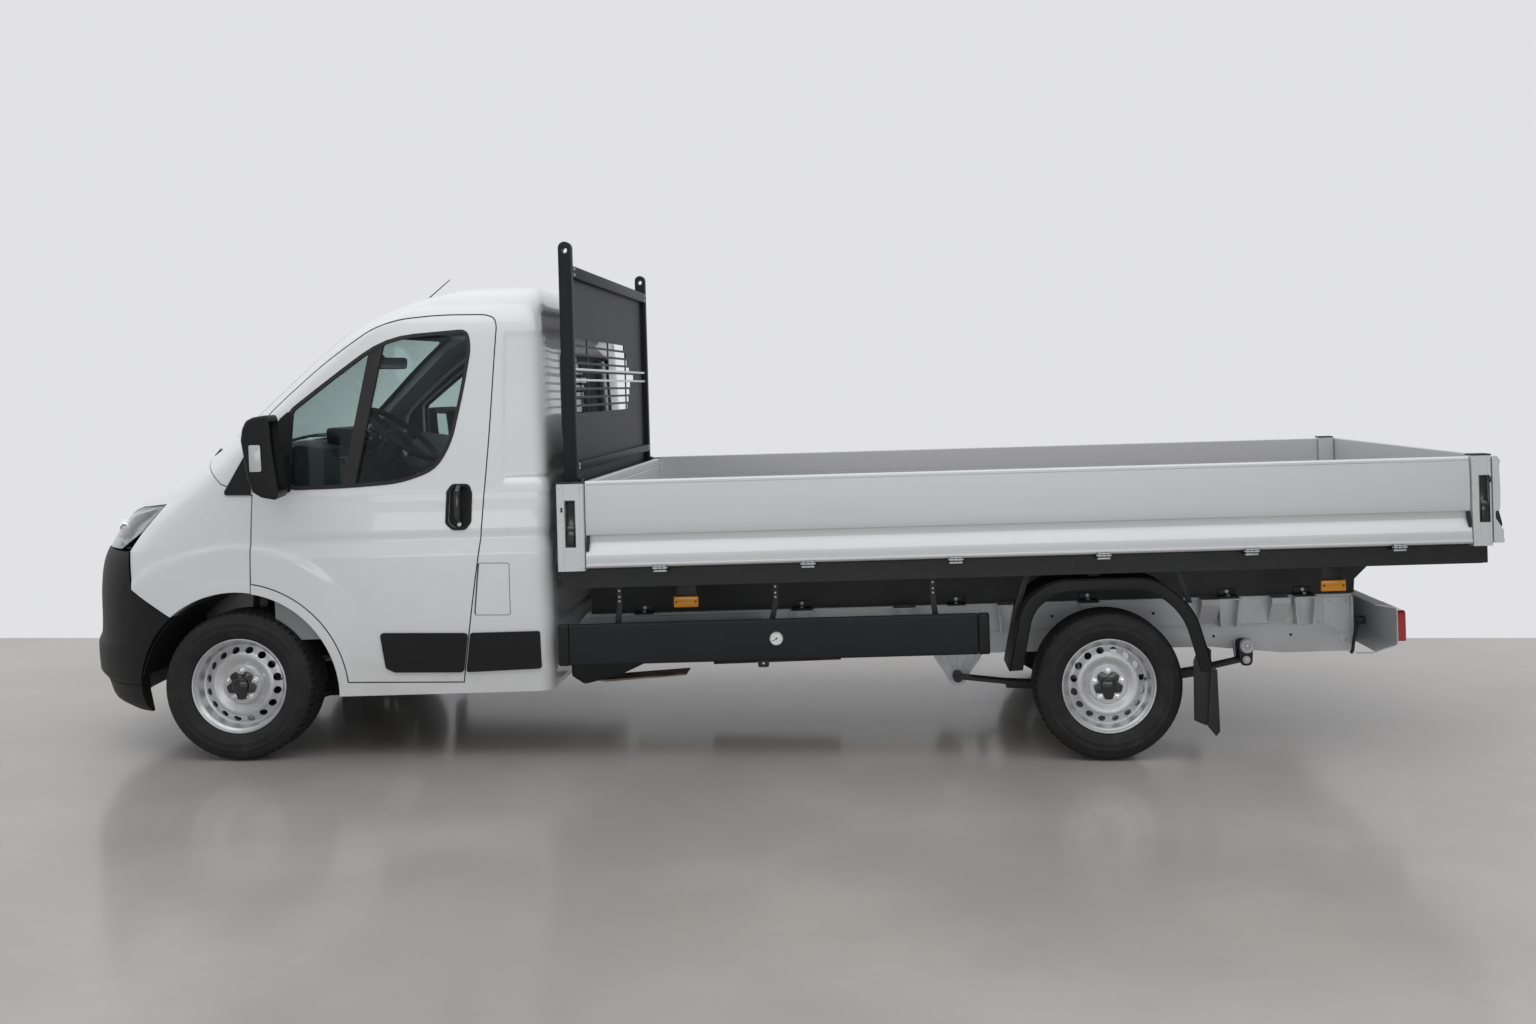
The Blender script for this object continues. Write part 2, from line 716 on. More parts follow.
def build_stage():
    """Floor, lights and the camera at the photo's place."""
    values = settings()
    floor = bmesh.new()
    corners = ((-14.0, -14.0), (16.0, -14.0), (16.0, BACK_EDGE), (-14.0, BACK_EDGE))
    floor.faces.new([floor.verts.new((x, y, 0.0)) for x, y in corners])
    floor.normal_update()
    mesh = bpy.data.meshes.new("floor")
    floor.to_mesh(mesh)
    floor.free()
    mesh.materials.append(look("polished_floor"))
    add_object("floor", mesh)
    build_room(values)
    for name, place, aim, width, height, power in LAMPS:
        lamp = bpy.data.lights.new(name, "AREA")
        lamp.shape = "RECTANGLE"
        lamp.size, lamp.size_y, lamp.energy = width, height, power * values.light_power
        holder = add_object(name, lamp)
        holder.location = place
        holder.rotation_euler = (Vector(aim) - Vector(place)).to_track_quat("-Z", "Y").to_euler()
    bpy.context.scene.view_settings.view_transform = "Standard"
    camera = bpy.data.cameras.new("camera")
    camera.lens = FOCAL_LENGTH
    camera.sensor_width = SENSOR
    camera.shift_x, camera.shift_y = FRAME_SHIFT
    eye = add_object("camera", camera)
    eye.location = EYE
    eye.rotation_euler = (math.pi / 2, 0.0, 0.0)
    bpy.context.scene.camera = eye


def build_room(values):
    """A backdrop that darkens behind the camera, under a bright ceiling."""
    world = bpy.data.worlds.new("studio")
    bpy.context.scene.world = world
    world.use_nodes = True
    nodes, links = world.node_tree.nodes, world.node_tree.links
    back = nodes["Background"]
    back.inputs["Strength"].default_value = values.wall_light
    direction = nodes.new("ShaderNodeTexCoord")
    split = nodes.new("ShaderNodeSeparateXYZ")
    links.new(direction.outputs["Generated"], split.inputs["Vector"])
    room = None
    bands = (  # axis of the direction, from, to, colour at the end, share
        ("Y", 0.1, -0.45, tuple(values.front_share * c for c in values.wall_colour)),
        ("Z", 0.3, 0.75, (values.ceiling_light,) * 3),
    )
    for axis, start, end, colour in bands:
        ramp = nodes.new("ShaderNodeMapRange")
        ramp.interpolation_type = "SMOOTHSTEP"
        ramp.inputs["From Min"].default_value, ramp.inputs["From Max"].default_value = start, end
        links.new(split.outputs[axis], ramp.inputs["Value"])
        mix = nodes.new("ShaderNodeMix")
        mix.data_type = "RGBA"
        links.new(ramp.outputs["Result"], mix.inputs[0])
        if room is None:
            mix.inputs[6].default_value = (*values.wall_colour, 1.0)
        else:
            links.new(room, mix.inputs[6])
        mix.inputs[7].default_value = (*colour, 1.0)
        room = mix.outputs[2]
    links.new(room, back.inputs["Color"])


# Wheels

WHEELBASE = 4.035
REAR_X = WHEELBASE * math.cos(RAKE)
REAR_Z = TYRE_RADIUS - WHEELBASE * math.sin(RAKE)
TYRE_HALF, DRAWN_HALF = 0.107, 0.1078
TYRE_STEPS = 120
NUTS, WHEEL_HOLES = 5, 16
HOLE_CIRCLE = 0.158
NUT_CIRCLE = 0.066
NUT_FOOT = 0.0548


def tyre(centre):
    """A radial tyre with four tread grooves, shoulder blocks and raised rings on its walls."""
    wall = [(0.2095, 0.073), (0.22, 0.0765), (0.2235, 0.088), (0.232, 0.0965), (0.246, 0.1035),
            (0.262, 0.1068), (0.264, 0.1078), (0.268, 0.1078), (0.27, 0.107), (0.29, 0.1066),
            (0.292, 0.1074), (0.295, 0.1072), (0.297, 0.1055), (0.312, 0.102), (0.324, 0.0965),
            (0.334, 0.089)]
    tread = [(0.3405, 0.08), (0.344, 0.07)]
    floor = 0.3463 - settings().groove_depth
    for middle in (0.048, 0.017):
        tread += [(0.3462, middle + 0.0048), (floor, middle + 0.0034), (floor, middle - 0.0034),
                  (0.3464, middle - 0.0048)]
    right = wall + tread
    profile = [(radius, offset * TYRE_HALF / DRAWN_HALF) for radius, offset in right]
    profile += [(radius, -offset) for radius, offset in reversed(profile)]
    shape = lathe(profile, centre, (0, 1, 0), TYRE_STEPS)
    cuts = [face for face in shape.faces if shoulder_face(face, centre)]
    order = {face: math.atan2(face.calc_center_median().z - centre[2],
                              face.calc_center_median().x - centre[0]) for face in cuts}
    odd = [face for face in cuts
           if int(round((order[face] + math.pi) / math.tau * TYRE_STEPS - 0.5)) % 2 == 0]
    bmesh.ops.inset_individual(shape, faces=odd, thickness=0.0016, depth=-settings().block_depth)
    return shape


def shoulder_face(face, centre):
    """Whether a face belongs to the tyre's shoulder, where the cross grooves are."""
    middle = face.calc_center_median()
    radius = math.hypot(middle.x - centre[0], middle.z - centre[2])
    return 0.334 < radius < 0.3462 and 0.05 < abs(middle.y - centre[1]) < 0.092


def rim(centre):
    """Silver steel wheel for the left side: barrel, dished disc with sixteen round holes, raised hub."""
    profile = [
        (0.2075, -0.073), (0.2198, -0.0775), (0.2198, -0.087), (0.2165, -0.0885), (0.212, -0.087),
        (0.2065, -0.076), (0.201, -0.072), (0.1965, -0.064), (0.1925, -0.044), (0.187, -0.0345),
        (0.18, -0.0315), (0.1735, -0.033), (0.16, -0.041), (0.149, -0.05), (0.142, -0.0545),
        (0.134, -0.056), (0.124, -0.055), (0.108, -0.0495), (0.096, -0.044), (0.0915, -0.0436),
        (0.0895, -0.0455), (0.088, -0.0535), (0.0865, -0.055), (0.03, -0.055),
        (0.03, -0.0385), (0.142, -0.043), (0.173, -0.025), (0.19, -0.026), (0.193, 0.06),
        (0.2075, 0.073), (0.2198, 0.0775), (0.2198, 0.087), (0.2165, 0.0885), (0.212, 0.087), (0.2045,
                                                                                               0.07),
        (0.202, -0.06),
    ]
    body = lathe(profile, (0, 0, 0), (0, 1, 0), 64)
    if body.calc_volume(signed=True) < 0.0:
        bmesh.ops.reverse_faces(body, faces=body.faces)
    holes = []
    for i in range(WHEEL_HOLES):
        turn = math.tau * (i + 0.5) / WHEEL_HOLES
        x, z = HOLE_CIRCLE * math.cos(turn), HOLE_CIRCLE * math.sin(turn)
        slope = Vector((0.52 * math.cos(turn), -0.85, 0.52 * math.sin(turn))).normalized()
        middle = Vector((x, -0.036, z))
        holes.append(bar(middle - slope * 0.03, middle + slope * 0.03, 0.0178, 20))
    body = carve(body, merged(*holes))
    bmesh.ops.translate(body, vec=centre, verts=body.verts)
    return body


def wheel_nuts(centre):
    """Five wheel nuts on their washers, with the stud ends."""
    shapes = []
    for i in range(NUTS):
        turn = math.tau * i / NUTS + math.radians(18)
        x, z = centre[0] + NUT_CIRCLE * math.cos(turn), centre[2] + NUT_CIRCLE * math.sin(turn)
        foot = centre[1] - NUT_FOOT
        shapes.append(bar((x, foot, z), (x, foot - 0.004, z), 0.015, 20, 0.0135))
        shapes.append(bar((x, foot - 0.003, z), (x, foot - 0.0185, z), 0.0118, 6, bevel=0.0012))
        shapes.append(bar((x, foot - 0.018, z), (x, foot - 0.0215, z), 0.007, 12, 0.005))
    return merged(*shapes)


def hub_cap(centre):
    """Black star-shaped centre cap between the nuts, with its plain round boss."""
    points = []
    for i in range(NUTS):
        base = 360 * i / NUTS + 18 + 36
        points += arc((centre[0], centre[2]), 0.068, base - 15, base + 15, 4)
        notch = math.radians(base + 36)
        points.append((centre[0] + 0.045 * math.cos(notch), centre[2] + 0.045 * math.sin(notch)))
    star = plate(rounded(points, 0.006, 3), "Y", centre[1] - 0.066, centre[1] - 0.054, 0.003, 2)
    boss = lathe([(0.0001, -0.066), (0.038, -0.066), (0.036, -0.079), (0.03, -0.083), (0.0001, -0.085)],
                 centre, (0, 1, 0), 40)
    return merged(star, boss)


def build_wheels():
    """Four tyres on steel wheels with nuts, caps and valves."""
    for end, x, z in (("front", 0.0, TYRE_RADIUS), ("rear", REAR_X, REAR_Z)):
        centre = (x, -TRACK_HALF, z)
        body = "wheel_" + end + "_{}"
        both_sides("tyre_" + end, tyre(centre), "tyre_rubber", body, ["tyre_" + end + "_{}"],
                   slot="tyre_rubber", smooth=28.0)
        both_sides("steel_wheel_" + end, rim(centre), "wheel_silver", body, ["rim_" + end + "_{}"],
                   slot="silver_steel", smooth=30.0)
        both_sides("wheel_nuts_" + end, wheel_nuts(centre), "chrome", body)
        both_sides("hub_cap_" + end, hub_cap(centre), "gloss_black", body, smooth=40.0)
        valve = bar((x + 0.18, centre[1] - 0.03, z + 0.02), (x + 0.172, centre[1] - 0.06, z + 0.019),
                    0.0042, 10, bevel=0.001)
        both_sides("valve_" + end, valve, "rubber_seal", body)


# Cab form

# height, nose on the centre line, where the side begins, half width, rear face
CAB_SECTIONS = (
    (0.285, -0.8, -0.22, 0.985, 1.452), (0.5, -0.88, -0.27, 1.01, 1.455),
    (0.8, -0.9, -0.28, 1.024, 1.455), (0.98, -0.865, -0.25, 1.022, 1.455),
    (1.1, -0.79, -0.19, 1.012, 1.453), (1.2, -0.68, -0.11, 1.0, 1.45),
    (1.38, -0.35, 0.04, 0.976, 1.446), (1.47, -0.215, 0.11, 0.964, 1.443),
    (1.62, -0.05, 0.255, 0.942, 1.438), (1.94, 0.305, 0.585, 0.89, 1.426),
    (2.04, 0.45, 0.74, 0.862, 1.415), (2.11, 0.61, 0.88, 0.822, 1.395),
    (2.16, 0.79, 1.0, 0.75, 1.365), (2.19, 0.96, 1.11, 0.63, 1.33),
    (2.205, 1.1, 1.19, 0.4, 1.295),
)
# height, nose, where the side begins, half width
BUMPER_SECTIONS = (
    (0.225, -0.8, -0.24, 0.95), (0.27, -0.87, -0.26, 0.985), (0.36, -0.905, -0.275, 1.003),
    (0.4, -0.946, -0.28, 1.008), (0.53, -0.95, -0.285, 1.012), (0.58, -0.925, -0.285, 1.016),
    (0.8, -0.915, -0.285, 1.026), (0.94, -0.89, -0.265, 1.028), (1.08, -0.815, -0.215, 1.016),
)
CAB_CORNER = 0.075
NOSE_POWER = 2.35
WALL = 0.055
SHUT = 0.006
DOOR_SKIN = 0.009
DOOR_REBATE = 0.022
HOOD_HALF = 0.72
LAMP_INNER = 0.46
ARCH_CENTRE = (0.005, 0.325)
ARCH_RADIUS = 0.46
ARCH_BAND = 0.045
FLOOR = 0.545
CAB_LOW, CAB_HIGH = 0.285, 2.205
ROOF_START = 1.9
GUTTER = 1.965
FINE_INSET = 0.03
SIDE_STEPS, NOSE_STEPS = 96, 30
FLARE_CREST = 0.672
LIP_REACH = (0.5, 0.512)
RIB_HEIGHTS = (0.62, 0.76, 0.9, 1.04, 1.18, 1.32, 1.94, 2.02)
RIB_DEPTH = 0.01

DOOR_OUTLINE = (
    arc(ARCH_CENTRE, ARCH_RADIUS + ARCH_BAND, 80.6, 3.0, 24)
    + [tuple(point) for point in rounded_path(
        [(1.046, 0.338), (1.148, 0.994), (1.185, 1.502), (1.208, 1.99), (1.195, 2.03), (1.15, 2.046),
         (0.934, 2.05), (0.744, 2.034), (0.624, 1.996), (0.406, 1.843), (0.212, 1.672), (0.12, 1.58),
         (0.088, 1.44)], 0.1, 4)]
)
DOOR_WINDOW = rounded(
    [(0.236, 1.25), (0.247, 1.618), (0.44, 1.77), (0.684, 1.952), (1.072, 1.978), (1.09, 1.89),
     (1.062, 1.7), (1.01, 1.45), (0.94, 1.325), (0.78, 1.268), (0.53, 1.252)], 0.055, 4, True)
LAMP_OUTLINE = [(-0.335, 1.195), (-0.5, 1.178), (-0.64, 1.135), (-1.0, 1.06),
                (-1.0, 0.985), (-0.56, 0.99), (-0.44, 1.07)]
HOOD_OUTLINE = [(-1.0, 1.06), (-0.64, 1.135), (-0.5, 1.178), (-0.335, 1.195), (-0.23, 1.388), (-1.0, 1.388)]
WING_OUTLINE = (
    [(0.088, 1.228)]
    + arc(ARCH_CENTRE, ARCH_RADIUS, 80, 130, 15)
    + [(-0.483, 0.808), (-0.502, 0.985), (-0.44, 1.07), (-0.335, 1.195), (-0.5, 1.178),
       (-0.64, 1.135), (-0.7, 1.135), (-0.7, 1.45), (-0.215, 1.45), (-0.158, 1.386), (-0.06, 1.285)]
)
BUMPER_OUTLINE = (
    [(-0.502, 0.985), (-0.483, 0.808)]
    + arc(ARCH_CENTRE, ARCH_RADIUS, 130, 180, 15)
    + [(-0.43, 0.15), (-1.1, 0.15), (-1.1, 0.985)]
)
FUEL_FLAP = rounded([(1.136, 0.892), (1.279, 0.888), (1.277, 0.648), (1.111, 0.652)], 0.012, 4)
WINDSCREEN = rounded([(-0.8, 1.52), (-0.7, 2.015), (0.7, 2.015), (0.8, 1.52),
                      (0.62, 1.425), (0.3, 1.402), (-0.3, 1.402), (-0.62, 1.425)], 0.08, 6)
REAR_WINDOW = rounded([(-0.62, 1.44), (-0.57, 1.86), (0.57, 1.86), (0.62, 1.44)], 0.07, 6)
FAR_LEFT, DEEP = -1.2, -0.5


def eased(value, low, high):
    """0 at low, 1 at high, smooth between."""
    t = min(1.0, max(0.0, (value - low) / (high - low)))
    return t * t * (3.0 - 2.0 * t)


def along_rows(rows, height):
    """The numbers of a table at a height, on a smooth line through its rows."""
    last = len(rows) - 1
    i = next((k for k in range(last) if height <= rows[k + 1][0]), last - 1)
    low, high = rows[i], rows[i + 1]
    before, after = rows[max(0, i - 1)], rows[min(last, i + 2)]
    span = high[0] - low[0]
    t = (height - low[0]) / span
    values = []
    for k in range(1, len(low)):
        chord = (high[k] - low[k]) / span
        slopes = []
        for a, b, step in ((before, high, chord), (low, after, chord)):
            slope = (b[k] - a[k]) / (b[0] - a[0])
            limit = 3.0 * abs(step)
            slopes.append(max(-limit, min(limit, slope)))
        values.append((2 * t ** 3 - 3 * t ** 2 + 1) * low[k] + (t ** 3 - 2 * t ** 2 + t) * span * slopes[0]
                      + (3 * t ** 2 - 2 * t ** 3) * high[k] + (t ** 3 - t ** 2) * span * slopes[1])
    return values


# Height and outward offset of the side's pressed lines
SIDE_LINES = ((0.28, 0.0), (0.36, 0.003), (0.8, 0.008), (0.935, 0.007), (1.002, -0.006), (1.012, -0.006),
              (1.045, 0.001), (1.19, 0.001), (1.221, 0.004), (1.232, 0.001), (1.3, 0.0), (2.3, 0.0))


def side_line(z):
    for (low, first), (high, second) in zip(SIDE_LINES, SIDE_LINES[1:]):
        if z <= high:
            return first + (second - first) * min(1.0, max(0.0, (z - low) / (high - low)))
    return 0.0


def relief(x, y, z):
    """How far the pressed shapes stand out of the plain cab form, at a point on its left half."""
    wide = abs(y)
    if wide < 0.6:
        return 0.0
    side = eased(wide, 0.8, 0.93) if z < GUTTER else 0.0
    reach = math.hypot(x - ARCH_CENTRE[0], z - ARCH_CENTRE[1])
    crest = FLARE_CREST + 0.03 * eased(-x, 0.1, 0.5)
    flare = settings().flare_height * (1.0 - eased(reach, crest - 0.012, crest + 0.016))
    flare *= 1.0 - eased(x, 0.3, 0.6)
    flare *= eased(z, 0.3, 0.6) if x > 0.3 else 1.0
    lip = 0.002 * (1.0 - eased(reach, *LIP_REACH)) if x < 0.088 else 0.0
    lines = side_line(z) * eased(x, 0.02, 0.34)
    panel = 0.0
    if x > 1.18 and z > 1.2:
        edge = min(x - 1.243, 1.96 - z, z - 1.262)
        panel = -settings().panel_depth * eased(edge, 0.0, 0.016)
        panel += -0.006 * eased(0.022 - abs(z - 1.268), 0.0, 0.012) * eased(x, 1.245, 1.262)
    return side * (flare + lip + lines + panel)


def cab_rows():
    """Heights of the fine form's rings, closer where the side has pressed lines."""
    heights = {row[0] for row in CAB_SECTIONS} | {line[0] for line in SIDE_LINES if CAB_LOW < line[0] < 2.2}
    heights |= {CAB_LOW + 0.014 * i for i in range(1, 73)}
    heights |= {1.32 + 0.024 * i for i in range(28)} | {2.0 + 0.012 * i for i in range(17)}
    heights |= {1.254, 1.262, 1.278, 1.944, 1.96, 2.197}
    rows = []
    for height in sorted(h for h in heights if CAB_LOW <= h <= CAB_HIGH):
        if not rows or height - rows[-1] > 0.0045:
            rows.append(height)
    rows[-1] = CAB_HIGH
    return rows


def cab_ring(height, inset, pressed, section=CAB_SECTIONS, rear=None):
    """The left half and then the right half of one level outline, from the middle of the rear face."""
    values = along_rows(section, height)
    nose, start, half_width = values[:3]
    rear = values[3] if rear is None else rear
    wide = half_width - inset
    radius = max(CAB_CORNER - inset, 0.012)
    lowered = inset * min(1.0, max(0.0, (height - ROOF_START) / 0.305)) if section is CAB_SECTIONS else 0.0
    half = [(rear - inset, (wide - radius) * i / 10) for i in range(10)]
    half += arc((rear - inset - radius, wide - radius), radius, 0, 90, 6)
    corner = half[-1][0]
    half += [(corner + (start - corner) * i / SIDE_STEPS, wide) for i in range(1, SIDE_STEPS + 1)]
    for i in range(1, NOSE_STEPS):
        t = math.pi / 2 * i / NOSE_STEPS
        half.append((start - (start - nose - inset) * math.sin(t) ** (2 / NOSE_POWER),
                     wide * math.cos(t) ** (2 / NOSE_POWER)))
    half.append((nose + inset, 0.0))
    points = [Vector((x, y, height - lowered)) for x, y in half]
    if pressed:
        for before, point, after in zip([*points[:1], *points[:-1]], list(points),
                                        [*points[1:], *points[-1:]]):
            run = after - before
            out = Vector((-run.y, run.x, 0.0))
            if out.length > 0.0:
                out.normalize()
                if out.dot(Vector((point.x - 0.4, point.y, 0.0))) < 0.0:
                    out = -out
                point += out * relief(point.x, point.y, point.z)
        for point in points:
            if point.x > rear - 0.004 and abs(point.y) < 0.86:
                point.x -= rear_rib(point.z) * eased(0.86 - abs(point.y), 0.0, 0.03)
    other = [Vector((p.x, -p.y, p.z)) for p in reversed(points[1:-1])]
    return points + other


def rear_rib(z):
    """Depth of the pressed channels across the cab's rear wall."""
    depth = 0.0
    for middle in RIB_HEIGHTS:
        depth = max(depth, RIB_DEPTH * eased(0.034 - abs(z - middle), 0.0, 0.01))
    return depth


def skin(rings):
    """A closed solid through level rings that have the same number of points."""
    count = len(rings[0])
    bm = bmesh.new()
    bmesh.ops.create_grid(bm, x_segments=count, y_segments=len(rings) - 1, size=1.0)
    for vert in bm.verts:
        i = round((vert.co.x + 1.0) / 2.0 * count)
        j = round((vert.co.y + 1.0) / 2.0 * (len(rings) - 1))
        vert.co = rings[j][i % count]
    bmesh.ops.remove_doubles(bm, verts=bm.verts, dist=0.000001)
    bmesh.ops.holes_fill(bm, edges=[edge for edge in bm.edges if edge.is_boundary], sides=0)
    bmesh.ops.recalc_face_normals(bm, faces=bm.faces)
    return bm


FORMS = {}


def cab_form(inset=0.0, bottom=CAB_LOW):
    """The cab's outer form drawn in by an inset, as a solid."""
    key = (inset, bottom)
    if key not in FORMS:
        pressed = inset < FINE_INSET
        heights = cab_rows() if pressed else [row[0] for row in CAB_SECTIONS]
        rings = [cab_ring(height, inset, pressed) for height in heights]
        if bottom < CAB_LOW:
            for point in rings[0]:
                point.z = bottom
        FORMS[key] = skin(rings)
    return FORMS[key].copy()


def cab_wall(outer, inner):
    """The layer of the cab between two insets."""
    return carve(cab_form(outer), cab_form(inner, 0.185))


def bumper_rings(inset, step, count):
    """Level rings of the bumper, drawn in by an inset."""
    heights = sorted({row[0] for row in BUMPER_SECTIONS} | {0.225 + step * i for i in range(count)})
    heights = [h for i, h in enumerate(heights) if i == 0 or h - heights[i - 1] > 0.004]
    return [cab_ring(height, inset, False, BUMPER_SECTIONS, 0.3) for height in heights]


def bumper_form():
    return skin(bumper_rings(0.0, 0.015, 57))


def within(shape, *tools):
    return carve(shape, *tools, operation="INTERSECT")


def without(shape, *tools):
    return carve(shape, *tools)


def side_cut(outline, low=FAR_LEFT, high=DEEP):
    return plate(outline, "Y", low, high)


def build_cab():
    """Painted panels of the cab with their windows, and the glass in them."""
    wall = cab_wall(0.0, WALL)
    gap = SHUT / 2
    paint = "white_paint"

    hood = within(cab_wall(0.0, 0.03), plate(grown(HOOD_OUTLINE, -gap), "Y", -HOOD_HALF + gap,
                                             HOOD_HALF - gap))
    piece("bonnet", hood, paint, "hood", ["hood"], slot=paint)
    both_sides("front_wing", within(wall.copy(), side_cut(grown(WING_OUTLINE, -gap),
                                                          high=-HOOD_HALF - gap)), paint, "truck",
               ["wing_{}"], slot=paint)

    door = within(wall.copy(), side_cut(grown(DOOR_OUTLINE, -gap - DOOR_REBATE)))
    door = carve(door, within(cab_wall(0.0, DOOR_SKIN), side_cut(grown(DOOR_OUTLINE, -gap))),
                 operation="UNION")
    door = without(door, side_cut(DOOR_WINDOW), within(cab_wall(-0.012, 0.032),
                                                       side_cut(grown(HANDLE, -0.011))))
    both_sides("door_panel", door, paint, "door_{}", ["door_{}"], slot=paint)

    glass = within(cab_wall(0.021, 0.026), side_cut(grown(DOOR_WINDOW, -0.0003)))
    both_sides("door_window", glass, "window_glass", "door_{}", ["door_glass_{}"], slot="glass")
    screen = within(cab_wall(0.004, 0.009), plate(grown(WINDSCREEN, -0.0003), "X", -1.0, 0.75))
    piece("screen_glass", screen, "window_glass", "truck", ["windscreen"], slot="glass")
    pane_rear = within(cab_wall(0.004, 0.009), plate(grown(REAR_WINDOW, -0.0003), "X", 1.2, 1.6))
    piece("rear_glass", pane_rear, "window_glass", "truck", ["rear_window"], slot="glass")

    # Dark seals that fill part of the gaps round the doors and the filler flap
    vertical_edge = block((0.0, -1.2, 0.5), (0.0925, -0.5, 1.46))
    strip = without(within(cab_wall(0.0014, DOOR_SKIN - 0.0004),
                           side_cut(grown(DOOR_OUTLINE, gap - 0.0002))),
                    side_cut(grown(DOOR_OUTLINE, -0.0016)), vertical_edge)
    both_sides("door_gap_seal", strip, "rubber_seal")
    strip = without(within(cab_wall(0.0014, 0.006), side_cut(grown(FUEL_FLAP, gap / 2 - 0.0002),
                                                             high=-0.9)),
                    side_cut(grown(FUEL_FLAP, -0.0002)))
    piece("flap_gap_seal", strip, "rubber_seal")

    flap = within(wall.copy(), side_cut(grown(FUEL_FLAP, -gap / 2), high=-1.006))
    flap = without(flap, plate([(1.0, 0.6), (1.1116, 0.6), (1.148, 0.95), (1.0, 0.95)], "Y", -1.2, -0.9))
    piece("filler_flap", flap, paint, "fuel_flap", ["fuel_flap"], slot=paint)

    shell = without(wall, plate(grown(HOOD_OUTLINE, gap), "Y", -HOOD_HALF - gap, HOOD_HALF + gap),
                    plate(WINDSCREEN, "X", -1.2, 0.75), plate(REAR_WINDOW, "X", 1.2, 1.6),
                    plate([(-1.1, 0.1), (-0.16, 0.1), (-0.16, 1.25), (-0.335, 1.25), (-0.335, 1.2),
                           (-1.1, 1.2)], "Y", -1.2, 1.2))
    for side in (-1, 1):
        span = sorted((-side * FAR_LEFT, -side * DEEP))
        wing_span = sorted((-side * FAR_LEFT, side * (HOOD_HALF - gap)))
        recess = within(cab_wall(-0.01, DOOR_SKIN + 0.0003), plate(grown(DOOR_OUTLINE, gap), "Y", *span))
        shell = without(shell, plate(grown(DOOR_OUTLINE, -0.012), "Y", *span), recess,
                        plate(grown(WING_OUTLINE, gap), "Y", *wing_span),
                        plate(arc(ARCH_CENTRE, ARCH_RADIUS, -40, 220, 78), "Y", *span))
    shell = without(shell, side_cut(grown(FUEL_FLAP, gap / 2), high=-1.0057))
    shell = without(shell, block((1.2, -0.5, 0.2), (1.6, 0.5, 0.5025)))
    piece("cab_panels", shell, paint, "truck", ["cab_shell"], slot=paint)
    build_cab_frame()


def build_cab_frame():
    """Floor pan, firewall, scuttle, hinge posts and sills inside the cab's skin."""
    floor = block((0.42, -0.93, FLOOR - 0.045), (1.4275, 0.93, FLOOR), 0.004)
    toe = plate([(0.42, 0.5), (0.46, 0.545), (0.16, 0.86), (0.16, 1.2), (0.115, 1.2), (0.115, 0.83)],
                "Y", -0.92, 0.92, 0.003)
    for side in (-1, 1):
        low, high = sorted((side * 0.56, side * 1.2))
        floor, toe = (without(part, plate(arc(ARCH_CENTRE, ARCH_RADIUS + 0.002, -60, 240, 90), "Y", low,
                                          high)) for part in (floor, toe))
    scuttle = plate([(-0.29, 1.393), (-0.17, 1.393), (0.115, 1.15), (0.16, 1.15), (0.16, 1.245),
                     (-0.12, 1.44), (-0.23, 1.44)], "Y", -0.7, 0.7)
    scuttle = within(scuttle, cab_form(0.012))
    posts = within(cab_wall(WALL + 0.001, WALL + 0.05),
                   plate([(0.03, 0.83), (0.16, 0.83), (0.16, 1.24), (0.03, 1.24)], "Y", -1.2, 1.2))
    band = within(cab_wall(WALL + 0.0003, WALL + 0.03),
                  plate([(-1.2, 0.84), (0.07, 0.84), (0.07, 1.03), (-1.2, 1.03)], "Y", -1.2, 1.2))
    beads = [block((0.5, y - 0.03, 0.5445), (1.38, y + 0.03, 0.5485), 0.002, 2) for y in (-0.6, -0.2, 0.2,
                                                                                          0.6)]
    piece("cab_frame", merged(floor, toe, scuttle, posts, band, *beads), "black_paint", smooth=30.0)
    sills = []
    rails = ((0.875, 0.04, 0.291, 0.541, 1.4275), (0.93, 0.025, 0.288, 0.327, 1.3))
    for side in (-1, 1):
        for middle, half, low, high, end in rails:
            sills.append(block((0.52, side * middle - half, low), (end, side * middle + half, high), 0.004))
    piece("cab_sills", sills, "white_paint", smooth=30.0)


# Cab fittings

DIVIDER = [(0.499, 1.235), (0.557, 1.235), (0.69, 1.99), (0.628, 1.99)]
HANDLE = rounded([(0.985, 1.075), (1.02, 1.045), (1.08, 1.045), (1.106, 1.08), (1.109, 1.215),
                  (1.094, 1.256), (1.014, 1.258), (0.99, 1.225)], 0.03, 5)
DOOR_MOULDING = rounded([(0.673, 0.581), (0.692, 0.414), (0.733, 0.394), (1.049, 0.386), (1.078, 0.57)],
                        0.018, 5)
CORNER_MOULDING = rounded([(1.062, 0.386), (1.409, 0.394), (1.409, 0.57), (1.09, 0.57)], 0.012, 4)


def on_side(outline, outer, inner, *holes):
    """A layer of the left side within an outline, less some holes."""
    layer = within(cab_wall(outer, inner), side_cut(outline))
    for hole in holes:
        layer = without(layer, side_cut(hole))
    return layer


